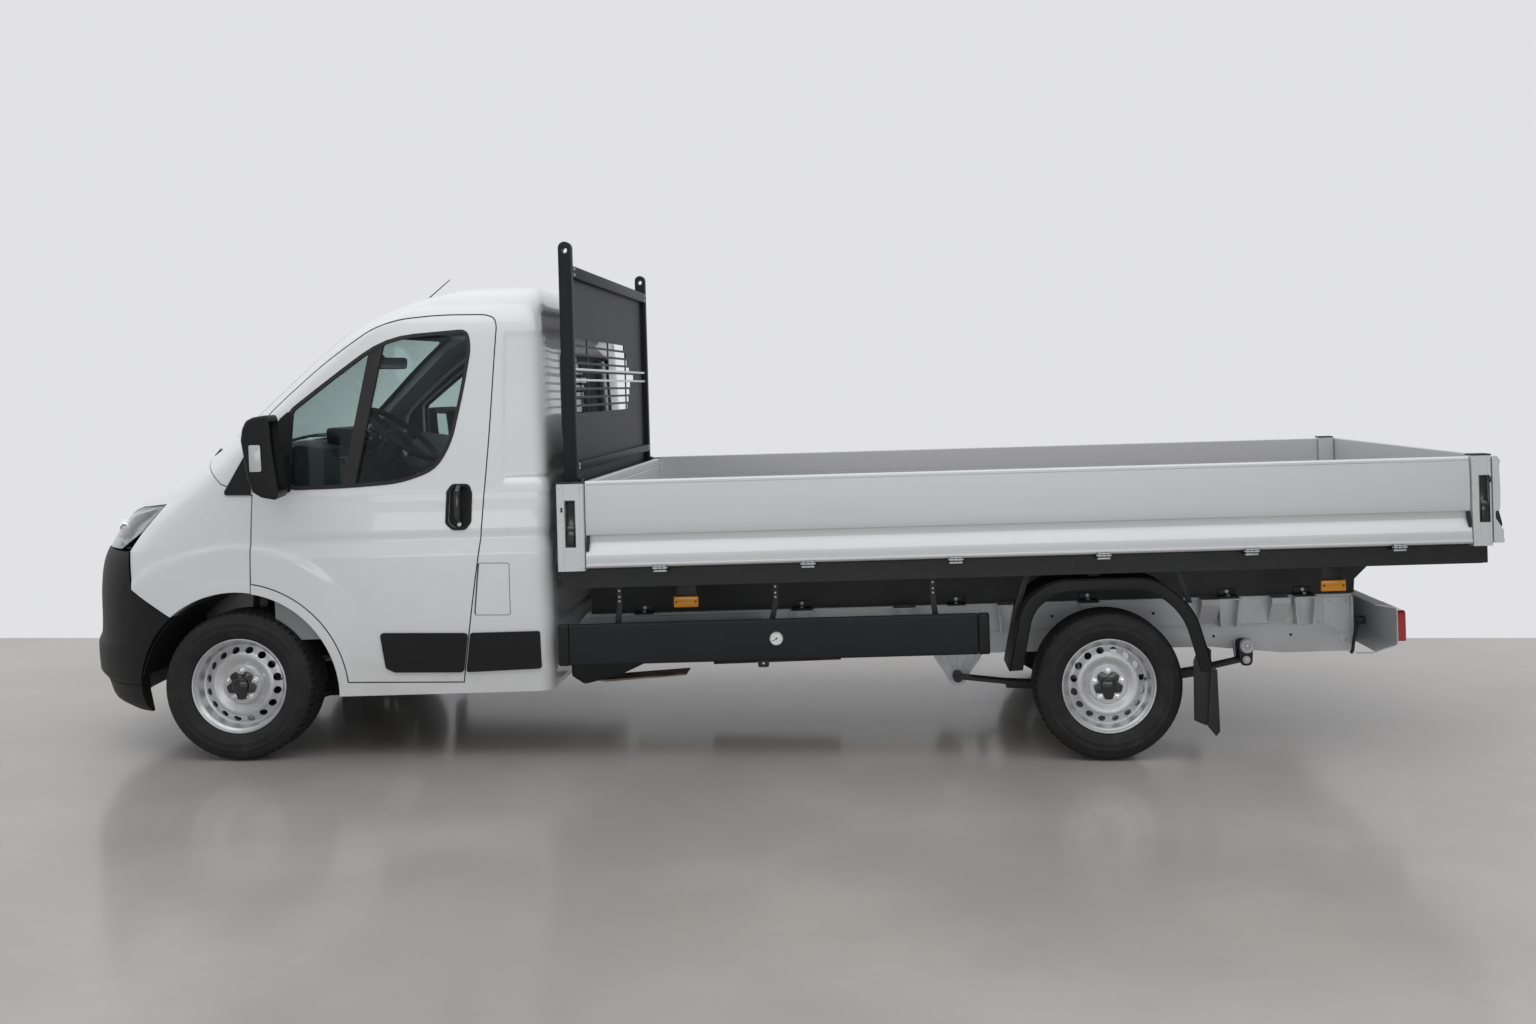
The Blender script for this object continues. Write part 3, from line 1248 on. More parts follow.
def build_trim():
    """Window seals, dividers, mouldings, mirror bases and door handles."""
    door, truck = "door_{}", "truck"
    both_sides("window_seal", on_side(grown(DOOR_WINDOW, 0.002), -0.0015, 0.02, grown(DOOR_WINDOW, -0.015)),
               "rubber_seal", door, smooth=50.0)
    bar_between = within(on_side(DIVIDER, 0.001, 0.0205), side_cut(grown(DOOR_WINDOW, -0.004)))
    both_sides("window_divider", bar_between, "rubber_seal", door)
    both_sides("door_moulding", on_side(DOOR_MOULDING, -0.01, 0.001), "black_plastic", door, bevel=0.0025)
    both_sides("corner_moulding", on_side(CORNER_MOULDING, -0.01, 0.001), "black_plastic", truck,
               bevel=0.0025)
    base = rounded([(-0.04, 1.25), (-0.036, 1.234), (0.083, 1.231), (0.083, 1.44), (0.048, 1.415)], 0.012,
                   4)
    both_sides("mirror_base", on_side(base, -0.007, 0.002), "black_plastic", truck, bevel=0.002)
    cheek = rounded([(0.13, 1.236), (0.268, 1.24), (0.262, 1.4), (0.252, 1.622), (0.206, 1.58),
                     (0.16, 1.5)], 0.012, 4)
    both_sides("mirror_cheek", on_side(cheek, -0.006, 0.002), "black_plastic", door, bevel=0.002)
    both_sides("handle_bezel", on_side(HANDLE, -0.004, 0.006, grown(HANDLE, -0.012)), "black_plastic", door,
               bevel=0.0015)
    both_sides("handle_dish", on_side(grown(HANDLE, -0.0125), 0.018, 0.03), "black_plastic", door)
    grip = tube(rounded_path([(1.047, -1.0, 1.24), (1.047, -1.026, 1.228), (1.047, -1.032, 1.16),
                              (1.047, -1.028, 1.105), (1.047, -1.002, 1.088)], 0.03), 0.0125, 14)
    lock = lathe([(0.0001, 0.0), (0.0001, -0.012), (0.008, -0.012), (0.01, -0.01), (0.01, 0.0)],
                 (1.05, -1.006, 1.07), (0, 1, 0), 24)
    both_sides("handle_grip", grip, "gloss_black", door)
    both_sides("door_lock", lock, "cast_aluminium", door)
    surround = within(cab_wall(-0.0015, 0.012), plate(grown(WINDSCREEN, 0.004), "X", -1.0, 0.75))
    surround = without(surround, plate(grown(WINDSCREEN, -0.028), "X", -1.2, 0.8))
    piece("screen_seal", surround, "rubber_seal", truck, smooth=50.0)
    frame_rear = within(cab_wall(-0.0015, 0.012), plate(grown(REAR_WINDOW, 0.01), "X", 1.2, 1.6))
    frame_rear = without(frame_rear, plate(grown(REAR_WINDOW, -0.016), "X", 1.1, 1.7))
    piece("rear_glass_seal", frame_rear, "rubber_seal", truck, smooth=50.0)


BUMPER_OPENINGS = ((0.86, 1.025, 0.4, 4), (0.412, 0.515, 0.42, 3), (0.612, 0.778, 0.48, 4))
SEAM_HEIGHT = 0.362


def build_bumper():
    """Grained black bumper with its grille, air slots, seams and step."""
    shell = without(bumper_form(), cab_form(WALL, 0.1))
    region = plate(grown(BUMPER_OUTLINE, -SHUT / 2), "Y", -1.2, 1.2)
    brow = plate([(-1.09, 0.9), (-0.62, 0.9), (-0.62, 1.06), (-0.64, 1.13), (-1.09, 1.03)],
                 "Y", -LAMP_INNER + SHUT / 2, LAMP_INNER - SHUT / 2)
    region = carve(region, brow, operation="UNION")
    body = within(shell, region)
    windows = []
    for low, high, half, _ in BUMPER_OPENINGS:
        outline = rounded([(-half, low), (half, low), (half - 0.03, high), (-half + 0.03, high)], 0.03, 4)
        windows.append(plate(outline, "X", -1.1, -0.5))
    body = without(body, *windows)
    seams = [block((-1.2, -1.2, SEAM_HEIGHT - 0.002), (-0.2, 1.2, SEAM_HEIGHT + 0.002))]
    for side in (-1, 1):
        seams.append(block((-1.2, side * 0.7 - 0.002, 0.37), (-0.5, side * 0.7 + 0.002, 0.83)))
    groove = merged(*seams)
    layer = without(bumper_form(), bumper_inset())
    body = without(body, within(layer, groove))
    piece("bumper_cover", body, "black_plastic", "truck", ["front_bumper"], slot="black_plastic",
          smooth=32.0)
    slats = []
    for low, high, half, count in BUMPER_OPENINGS:
        wide = half + 0.005
        for i in range(count):
            z = low + (high - low) * (i + 0.5) / count
            slat = block((-1.2, -wide, z - 0.008), (-0.5, wide, z + 0.008))
            slats.append(within(bumper_band(0.016, 0.05), slat))
    for y in (-0.24, 0.0, 0.24):
        slats.append(within(bumper_band(0.022, 0.05), block((-1.2, y - 0.006, 0.4),
                                                            (-0.5, y + 0.006, 1.03))))
    piece("grille_slats", slats, "gloss_black")


BANDS = {}


def bumper_inset(inset=0.004):
    """The bumper's form drawn in by an inset."""
    key = ("inset", inset)
    if key not in BANDS:
        rings = bumper_rings(inset, 0.03, 29)
        for point in rings[0]:
            point.z -= 0.05
        for point in rings[-1]:
            point.z += 0.05
        BANDS[key] = skin(rings)
    return BANDS[key].copy()


def bumper_band(outer, inner):
    """The layer of the bumper between two insets."""
    key = (outer, inner)
    if key not in BANDS:
        BANDS[key] = without(bumper_inset(outer), bumper_inset(inner))
    return BANDS[key].copy()


def build_headlamps():
    """Clear covers over black housings with reflectors and light guides."""
    gap = SHUT / 2
    span = (FAR_LEFT, -LAMP_INNER - gap)
    cover = within(cab_wall(0.0, 0.004), side_cut(grown(LAMP_OUTLINE, -gap), *span))
    both_sides("lamp_cover", cover, "lamp_cover", "truck", ["headlamp_{}"], slot="clear_lens")
    tub = within(cab_wall(0.044, WALL), side_cut(grown(LAMP_OUTLINE, -gap), *span))
    rim_layer = within(cab_wall(0.0045, 0.044), side_cut(grown(LAMP_OUTLINE, -gap), *span))
    rim_layer = without(rim_layer, side_cut(grown(LAMP_OUTLINE, -0.01), FAR_LEFT, -LAMP_INNER - 0.012))
    both_sides("lamp_housing", merged(tub, rim_layer), "gloss_black")
    shapes = []
    for x, y, z, radius in ((-0.725, -0.6, 1.062, 0.036), (-0.64, -0.735, 1.082, 0.04)):
        bowl = [(0.0001, 0.02), (0.0001, 0.016), (radius * 0.55, 0.014), (radius * 0.92, -0.012),
                (radius, -0.016), (radius + 0.002, -0.012), (radius * 0.7, 0.018)]
        shapes.append(lathe(bowl, (x, y, z), (1.0, 0.25, -0.1), 32))
    blades = within(cab_wall(0.01, 0.03), side_cut([(-0.76, 1.03), (-0.7, 1.028), (-0.56, 1.14),
                                                       (-0.59, 1.138), (-0.715, 1.055)], *span))
    both_sides("lamp_reflector", merged(*shapes, blades), "chrome")
    guide = within(cab_wall(0.006, 0.02), side_cut([(-0.8, 1.012), (-0.775, 1.01), (-0.655, 1.115),
                                                    (-0.36, 1.18), (-0.362, 1.19), (-0.668, 1.126)], *span))
    both_sides("light_guide", guide, "indicator_lens")
    bulbs = [lathe([(0.0001, 0.0), (0.0001, -0.03), (0.014, -0.026), (0.018, -0.01), (0.018, 0.0)],
                   (x, y, z), (1.0, 0.25, -0.1), 24)
             for x, y, z in ((-0.72, -0.6, 1.062), (-0.635, -0.735, 1.082))]
    both_sides("lamp_projector", bulbs, "indicator_lens")


def swept(shape):
    """The mirror's pieces slimmed and leaned rearwards towards their outer end."""
    for vertex in shape.verts:
        vertex.co.x = 0.25 + (vertex.co.x - 0.25) * 0.92 - 0.27 * (vertex.co.y + 1.2)
    return shape


def build_mirrors():
    """Door mirrors: two-part black housing, glass, indicator and arm."""
    outline = rounded([(0.156, 1.495), (0.165, 1.545), (0.183, 1.58), (0.218, 1.595), (0.282, 1.603),
                       (0.292, 1.579), (0.3, 1.472), (0.331, 1.25), (0.318, 1.228), (0.248, 1.241),
                       (0.208, 1.265), (0.182, 1.331), (0.168, 1.424)], 0.03, 4)
    body = plate(outline, "Y", -1.328, -1.075, 0.022, 5)
    seam = without(plate(grown(outline, 0.01), "Y", -1.35, -1.05), plate(grown(outline, -0.0025), "Y",
                                                                         -1.3255, -1.0))
    cap = block((0.1, -1.36, 1.4865), (0.36, -1.05, 1.4895))
    body = without(body, within(seam, cap))
    recess = block((0.2655, -1.31, 1.262), (0.34, -1.094, 1.575))
    pivot = Matrix.Translation((0.3, 0.0, 1.42))
    tilt = pivot @ Matrix.Rotation(math.radians(-5.0), 4, "Y") @ pivot.inverted()
    bmesh.ops.transform(recess, matrix=tilt, verts=recess.verts)
    pocket = block((0.194, -1.35, 1.352), (0.256, -1.3225, 1.476))
    body = without(body, recess, soften(pocket, 0.006, 3))
    both_sides("mirror_housing", swept(body), "black_plastic", "door_{}", ["mirror_{}"], smooth=40.0)
    glass = block((0.2665, -1.306, 1.268), (0.27, -1.098, 1.57))
    bmesh.ops.transform(glass, matrix=tilt, verts=glass.verts)
    both_sides("mirror_glass", swept(soften(glass, 0.001)), "chrome", "door_{}")
    lens_outline = rounded([(0.1965, 1.355), (0.2535, 1.355), (0.25, 1.473), (0.1945, 1.473)], 0.008, 4)
    both_sides("mirror_indicator", swept(plate(lens_outline, "Y", -1.3275, -1.3228, 0.0015)),
               "indicator_lens", "door_{}")
    arm = plate(rounded([(0.175, 1.262), (0.262, 1.262), (0.255, 1.42), (0.19, 1.44)], 0.02, 4), "Y",
                -1.085, -0.985, 0.006, 2)
    both_sides("mirror_arm", arm, "black_plastic", "door_{}", smooth=40.0)


def build_roof_and_wipers():
    """Aerial, wipers and the black cowl strip below the screen."""
    foot = roof_point(0.62, -0.3)
    mast = bar(foot - Vector((0.0, 0.0, 0.004)), foot + Vector((0.19, 0.0, 0.155)), 0.0035, 10, 0.0022)
    base = lathe([(0.0001, -0.006), (0.026, -0.006), (0.024, 0.006), (0.012, 0.02), (0.0001, 0.024)], foot,
                 (-0.35, 0.0, 1.0), 28)
    piece("aerial", merged(mast, base), "rubber_seal")
    arms = []
    for start, end in ((-0.62, -0.06), (0.1, 0.66)):
        path = [screen_point(y, z, -0.012) for y, z in ((start, 1.415), (start + 0.1, 1.44),
                                                       (0.5 * (start + end), 1.462), (end, 1.455))]
        arms.append(tube(rounded_path(path, 0.05), 0.006, 8))
        blade = [screen_point(start + 0.08 + (end - start) * t, 1.45 + 0.022 * math.sin(math.pi * t),
                              -0.004) for t in (0.0, 0.2, 0.4, 0.6, 0.8, 1.0)]
        arms.append(tube(blade, 0.005, 6))
        pivot = screen_point(start, 1.412, -0.006)
        arms.append(bar(pivot - Vector((0.012, 0.0, 0.012)), pivot + Vector((0.016, 0.0, 0.02)), 0.013, 16))
    piece("wipers", arms, "gloss_black")


def roof_point(x, y):
    """The point of the cab's skin above a place."""
    low, high = 1.4, 2.2
    for _ in range(30):
        middle = (low + high) / 2
        if screen_point(y, middle, 0.0).x < x:
            low = middle
        else:
            high = middle
    return Vector((x, y, low))


def screen_point(y, z, out):
    """A point of the cab's front skin at a height, moved along x by a distance."""
    nose, start, half_width = along_rows(CAB_SECTIONS, z)[:3]
    t = math.acos(min(1.0, (abs(y) / half_width)) ** (NOSE_POWER / 2))
    return Vector((start - (start - nose) * math.sin(t) ** (2 / NOSE_POWER) + out, y, z))


# Dropside body

HALF = 1.1
DECK_LOW = 0.85
FRONT_POST = (1.52, 1.643)
SIDE_BOARD = (1.649, 5.69)
REAR_POST = (5.696, 5.783)
BED_END = 5.838
HINGE_PIN = 0.856
FRONT_TOP, REAR_TOP = 1.248, 1.262
PLANK_LINES = (0.96, 1.06, 1.15, 1.205)
LATCH_POCKET = (0.962, 1.17)
BOARD_PROFILE = [
    (0.007, 0.862), (0.0035, 0.8665), (0.0012, 0.869), (0.0006, 0.873), (0.0014, 0.8775), (0.0048, 0.879),
    (0.0042, 0.9), (0.004, 0.917), (0.0052, 0.9205), (0.037, 0.9705), (0.0396, 0.975), (0.04, 0.99),
    (0.0396, 1.004), (0.036, 1.0085), (0.023, 1.0095), (0.0205, 1.012), (0.0195, 1.018), (0.0178, 1.03),
    (0.0164, 1.06), (0.0158, 1.11), (0.0164, 1.16), (0.0182, 1.205), (0.0208, 1.2375), (0.0235, 1.2385),
    (0.0235, 1.2405), (0.021, 1.2415), (0.0218, 1.251), (0.025, 1.2565), (0.03, 1.258), (0.045, 1.258),
    (0.049, 1.2545), (0.049, 1.14), (0.0476, 1.139), (0.0476, 1.136), (0.049, 1.135), (0.049, 1.0),
    (0.0476, 0.999), (0.0476, 0.996), (0.049, 0.995), (0.049, 0.866), (0.045, 0.862),
]
HINGE_SPOTS = [SIDE_BOARD[0] + (SIDE_BOARD[1] - SIDE_BOARD[0]) * (i + 0.5) / 6 for i in range(6)]
GATE_SPOTS = [-1.0 + 0.5 * (i + 0.5) for i in range(4)]


def screw(x, y, z, direction, radius=0.0045, proud=0.0015):
    """A round screw head with its cross recess, seated on a face."""
    profile = [(0.0001, -0.002), (radius, -0.002), (radius, proud * 0.4), (radius * 0.8, proud),
               (0.0001, proud * 1.1)]
    return lathe(profile, (x, y, z), direction, 16)


def board_ends(low, high, across):
    """Black wedges in the hollow at both ends of a board."""
    outline = [(0.0385, 0.975), (0.0385, 1.0045), (0.024, 1.0085), (0.01, 0.95), (0.012, 0.935)]
    if across == "X":
        face = [(-HALF + inwards, height) for inwards, height in outline]
    else:
        face = [(BED_END - inwards, height) for inwards, height in outline]
    return merged(plate(face, across, low - 0.0005, low + 0.012, 0.0015),
                  plate(face, across, high - 0.012, high + 0.0005, 0.0015))


def build_boards():
    """Extruded side boards and tailgate with their end wedges."""
    low, high = SIDE_BOARD
    section = [(-HALF + inwards, height) for inwards, height in BOARD_PROFILE]
    both_sides("side_board", plate(section, "X", low, high), "board_aluminium", "dropside_{}",
               ["dropside_{}"], smooth=24.0)
    both_sides("side_board_ends", board_ends(low, high, "X"), "rubber_seal", "dropside_{}")
    half = HALF - 0.004
    section = [(BED_END - inwards, height) for inwards, height in BOARD_PROFILE]
    gate = plate(section, "Y", -half, half)
    piece("tailgate_board", gate, "board_aluminium", "tailgate", ["tailgate"], smooth=24.0)
    piece("tailgate_ends", board_ends(-half, half, "Y"), "rubber_seal", "tailgate")
    straps = []
    for side in (-1, 1):
        y = side * 1.06
        straps.append(block((BED_END - 0.019, y - 0.026, 1.195), (BED_END - 0.012, y + 0.026, 1.246),
                            0.002))
        straps.append(bar((BED_END - 0.016, y - 0.028, 1.232), (BED_END - 0.016, y + 0.028, 1.232), 0.0065,
                          16))
    piece("gate_catches", straps, "cast_aluminium", "tailgate")


def hinge_barrels(middle, along):
    """Three barrels of a hinge in a row along an axis."""
    middle, along = Vector(middle), Vector(along)
    return [bar(middle + along * start, middle + along * end, 0.0112, 20, bevel=0.0012)
            for start, end in ((-0.0295, -0.0105), (-0.0095, 0.0095), (0.0105, 0.0295))]


def hinge_knuckles():
    """Silver hinges along the side rails and the rear rail."""
    shapes, screws = [], []
    y = -HALF - 0.006
    for x in HINGE_SPOTS:
        shapes += hinge_barrels((x, y, HINGE_PIN), (1, 0, 0))
        shapes.append(block((x - 0.0295, -HALF - 0.01, 0.838), (x + 0.0295, -HALF + 0.068, 0.846), 0.0015))
        shapes.append(bar((x - 0.034, y, HINGE_PIN), (x + 0.034, y, HINGE_PIN), 0.0045, 14))
        screws += [screw(x + dx, -HALF + 0.0405, 0.8375, (0, 0, -1), 0.006, 0.003) for dx in (-0.015,
                                                                                              0.015)]
    both_sides("board_hinges", shapes + screws, "cast_aluminium", smooth=40.0)
    gate = []
    for y in GATE_SPOTS:
        gate += hinge_barrels((BED_END + 0.006, y, HINGE_PIN), (0, 1, 0))
        gate.append(block((BED_END - 0.06, y - 0.0295, 0.838), (BED_END + 0.008, y + 0.0295, 0.846),
                          0.0015))
    piece("gate_hinges", gate, "cast_aluminium", smooth=40.0)


def post_outline(front, rear):
    """Plan of a folded post with a crease near each edge, as (x, y)."""
    outer, inner = -HALF + 0.002, -HALF + 0.075
    first, second = front + 0.03, rear - 0.018
    points = [(front, inner), (front, outer + 0.004), (front + 0.004, outer)]
    for crease in (first, second):
        points += [(crease - 0.002, outer), (crease - 0.001, outer + 0.0014),
                   (crease + 0.001, outer + 0.0014), (crease + 0.002, outer)]
    points += [(rear - 0.004, outer), (rear, outer + 0.004), (rear, inner)]
    return points


def latched_post(front, rear, top, pocket, sides):
    """A post with its latch recess, and the pieces that belong in and on it."""
    outer = -HALF + 0.002
    low_x, high_x = pocket
    low, high = LATCH_POCKET
    post = plate(post_outline(front, rear), "Z", DECK_LOW, top)
    post = carve(post, block((low_x, outer - 0.02, low), (high_x, outer + 0.028, high)))
    cover = ((low_x + 0.0015, outer + 0.02, low + 0.0015), (high_x - 0.0015, outer + 0.027, high - 0.0015))
    handle = [block(*cover, 0.001)]
    profile = [(outer + 0.026, low + 0.004), (outer + 0.001, low + 0.004), (outer - 0.0035, low + 0.012),
               (outer - 0.0035, low + 0.07), (outer + 0.001, low + 0.086), (outer + 0.008, low + 0.094),
               (outer + 0.008, high - 0.012), (outer + 0.012, high - 0.004), (outer + 0.026, high - 0.004)]
    handle.append(plate(profile, "X", low_x + 0.005, high_x - 0.005, 0.0025))
    pin_y, pin_z = outer + 0.016, high - 0.02
    handle.append(bar((low_x + 0.002, pin_y, pin_z), (high_x - 0.002, pin_y, pin_z), 0.006, 16))
    rim = ((low_x - 0.0035, outer - 0.001, low - 0.0035), (high_x + 0.0035, outer + 0.003, high + 0.0035))
    frame = block(*rim, 0.0005)
    frame = carve(frame, block((low_x + 0.0008, outer - 0.02, low + 0.0008),
                               (high_x - 0.0008, outer + 0.02, high - 0.0008)))
    handle.append(frame)
    screws = [screw(x, outer, z, (0, -1, 0)) for x in sides for z in (DECK_LOW + 0.018, 1.075, top - 0.02)]
    return post, merged(*handle), merged(*screws)


def build_posts():
    """Corner posts, the front board between them, their latches and caps."""
    front, rear = FRONT_POST
    top = FRONT_TOP
    post, latch, screws = latched_post(front, rear, top, (1.56, 1.602), (front + 0.012, rear - 0.01))
    planks = [(rear - 0.03, DECK_LOW), (rear, DECK_LOW)]
    for height in PLANK_LINES:
        planks += [(rear, height - 0.004), (rear - 0.0025, height - 0.002), (rear - 0.0025, height + 0.002),
                   (rear, height + 0.004)]
    planks += [(rear, top - 0.004), (rear - 0.004, top), (rear - 0.026, top), (rear - 0.03, top - 0.004)]
    for height in reversed(PLANK_LINES):
        planks += [(rear - 0.03, height + 0.004), (rear - 0.0275, height + 0.002),
                   (rear - 0.0275, height - 0.002), (rear - 0.03, height - 0.004)]
    board = plate(planks, "Y", -HALF + 0.074, HALF - 0.074)
    wall = [board, post, copied(post, MIRROR)]
    piece("front_wall", wall, "board_aluminium", "truck", ["front_board"], smooth=24.0)
    both_sides("front_latch", latch, "gloss_black", smooth=40.0)
    both_sides("front_post_screws", screws, "cast_aluminium")
    start, end = REAR_POST
    post, latch, screws = latched_post(start, end, REAR_TOP, (5.728, 5.77), (start + 0.01, end - 0.007))
    both_sides("rear_corner_post", post, "board_aluminium", "truck", ["rear_post_{}"], smooth=24.0)
    both_sides("rear_latch", latch, "gloss_black", smooth=40.0)
    both_sides("rear_post_screws", screws, "cast_aluminium")
    cap_y = (-HALF + 0.001, -HALF + 0.077)
    caps = [block((start - 0.001, cap_y[0], REAR_TOP), (end + 0.001, cap_y[1], REAR_TOP + 0.007), 0.002),
            block((front - 0.001, cap_y[0], top), (rear + 0.001, cap_y[1], top + 0.005), 0.002)]
    both_sides("post_caps", caps, "rubber_seal")
    stops = [block((1.5385, -HALF - 0.002, 1.12), (1.5475, -HALF + 0.004, 1.142), 0.002),
             block((end - 0.011, -HALF - 0.002, 1.14), (end - 0.003, -HALF + 0.004, 1.166), 0.002)]
    both_sides("post_stops", stops, "gloss_black")


def build_deck():
    """Brown coated deck panels with their screws and flush lashing rings."""
    low, high = FRONT_POST[1] + 0.001, BED_END - 0.0552
    half = HALF - 0.056
    top = DECK_LOW + 0.0238
    notch = HALF - 0.0758
    panels, screws = [], []
    count = 4
    length = (high - low) / count
    for i in range(count):
        start, end = low + length * i + (0.001 if i else 0.0), low + length * (i + 1) - 0.001
        panel = block((start, -half, DECK_LOW + 0.0004), (end, half, top), 0.001, 1)
        panels.append(panel)
        for x in (start + 0.03, (start + end) / 2, end - 0.03):
            for y in (-0.96, -0.48, 0.0, 0.48, 0.96):
                if x < REAR_POST[0] - 0.05 or abs(y) < 0.9:
                    screws.append(screw(x, y, top, (0, 0, 1), 0.006, 0.0008))
    cuts = [block((REAR_POST[0] - 0.001, near, 0.8), (6.0, far, 0.9)) for near, far in ((-1.2, -notch),
                                                                                        (notch, 1.2))]
    panels[-1] = carve(panels[-1], *cuts)
    piece("deck_panels", panels, "deck_board", "truck", ["bed_floor"])
    piece("deck_screws", screws, "cast_aluminium")
    rings = []
    for i in range(4):
        x = low + length * (i + 0.5) if i else low + 0.35
        for side in (-1, 1):
            y = side * 0.955
            rings.append(lathe([(0.052, 0.0), (0.056, 0.0015), (0.05, 0.003), (0.044, 0.001),
                                (0.03, 0.0004), (0.0001, 0.0004), (0.0001, -0.001), (0.052, -0.001)],
                               (x, y, top), (0, 0, 1), 32))
            ring = [(x + 0.03 * math.cos(a), y + 0.03 * math.sin(a), top + 0.0055)
                    for a in (math.tau * k / 28 for k in range(28))]
            rings.append(tube(ring, 0.0045, 10, True))
            lug = y + side * 0.022
            rings.append(block((x - 0.008, lug - 0.006, top), (x + 0.008, lug + 0.006, top + 0.012), 0.003))
    piece("lashing_rings", rings, "cast_aluminium", smooth=40.0)


GRILLE_ENDS = (0.46, 0.5, 0.53, 0.56, 0.66, 0.54, 0.47, 0.43, 0.37)


def build_headboard():
    """Tall headboard: eyed posts, bars and a sheet with nine rows of slots."""
    front, rear, top = 1.534, 1.594, 2.366
    outer, width = 0.995, 0.045
    crown = arc((front + 0.03, top - 0.03), 0.03, 180, 0, 16)
    post = plate([(front, DECK_LOW)] + crown + [(rear, DECK_LOW)], "Y", -outer, -outer + width, 0.004)
    eye_x, eye_z = front + 0.03, top - 0.041
    eye = bar((eye_x, -outer - 0.01, eye_z), (eye_x, -outer + width + 0.01, eye_z), 0.0135, 28)
    lines = [block((x - 0.001, -outer - 0.001, DECK_LOW - 0.01), (x + 0.001, -outer + 0.0012, top - 0.075))
             for x in (front + 0.01, rear - 0.012)]
    post = carve(post, eye, *lines)
    inner = outer - width + 0.004
    sheet = block((front + 0.028, -inner, DECK_LOW + 0.05), (front + 0.0322, inner, 2.215))
    low, high = 1.56, 1.93
    pitch = (high - low) / len(GRILLE_ENDS)
    cuts = []
    for row, end in enumerate(GRILLE_ENDS):
        z = low + pitch * (row + 0.5)
        slot = rounded([(-0.88, z - 0.36 * pitch), (end, z - 0.36 * pitch), (end, z + 0.36 * pitch),
                        (-0.88, z + 0.36 * pitch)], 0.006, 3)
        cuts.append(plate(slot, "X", front, rear))
    sheet = carve(sheet, merged(*cuts))
    bars = [block((front + 0.01, -inner, 2.202), (rear, inner, 2.257), 0.004),
            block((front + 0.01, -inner, DECK_LOW), (rear, inner, DECK_LOW + 0.06), 0.004),
            block((front + 0.01, -inner, 1.3), (rear, inner, 1.34), 0.004)]
    for y in (-0.55, -0.04, 0.44):
        bars.append(block((front + 0.022, y - 0.008, 1.545), (front + 0.028, y + 0.008, 1.945), 0.0015))
    frame = [sheet, *bars, post, copied(post, MIRROR)]
    piece("headboard_frame", frame, "anthracite", "truck", ["headboard"], smooth=32.0)
    strips = []
    for z in (1.7235, 1.7745):
        strips.append(block((front + 0.0325, -inner, z - 0.0055), (front + 0.0465, inner, z + 0.0055),
                            0.0015))
    piece("grille_strips", strips, "frame_grey")
    bolts = []
    for side in (-1, 1):
        for z in (2.215, 2.243, 1.312, 1.328):
            bolts.append(bolt_head((rear - 0.001, side * (outer - width - 0.015), z), (1, 0, 0), 0.006))
    piece("headboard_bolts", bolts, "cast_aluminium")
    stake = [block((1.598, side * 0.955 - 0.02, DECK_LOW + 0.024), (1.612, side * 0.955 + 0.02, 1.265),
                   0.003) for side in (-1, 1)]
    piece("headboard_feet", stake, "anthracite")


def bolt_head(place, direction, radius):
    """A six-sided bolt head on its round washer."""
    place, direction = Vector(place), Vector(direction).normalized()
    height = radius * 0.7
    washer = bar(place, place + direction * radius * 0.25, radius * 1.45, 20)
    head = bar(place + direction * radius * 0.24, place + direction * (radius * 0.25 + height), radius, 6,
               bevel=radius * 0.12)
    return merged(washer, head)


# Under the deck

RAIL_FACE = 0.47
SPRING_EYES = ((3.356, 0.2), (4.785, 0.25))
BEARER_UNDERSIDE = 0.7645
REAR_AXLE = (4.033, 0.234)
GUARD_SPAN = (1.493, 3.484)
GUARD_HEIGHTS = (0.405, 0.592)
GUARD_HANGERS = ((1.775, -0.012), (2.498, -0.022), (3.228, 0.01))
GAUGE_PLACE = (2.5, 0.507)
SIDE_LAMPS = ((2.072, 0.669), (5.11, 0.66))
BRACKETS = (2.588, 3.1, 3.62, 4.02, 4.72, 5.1)
CLAMPS = (1.8, 2.588, 3.36, 4.02, 4.72, 5.1)
REAR_CHANNEL = (5.3505, 5.4555)


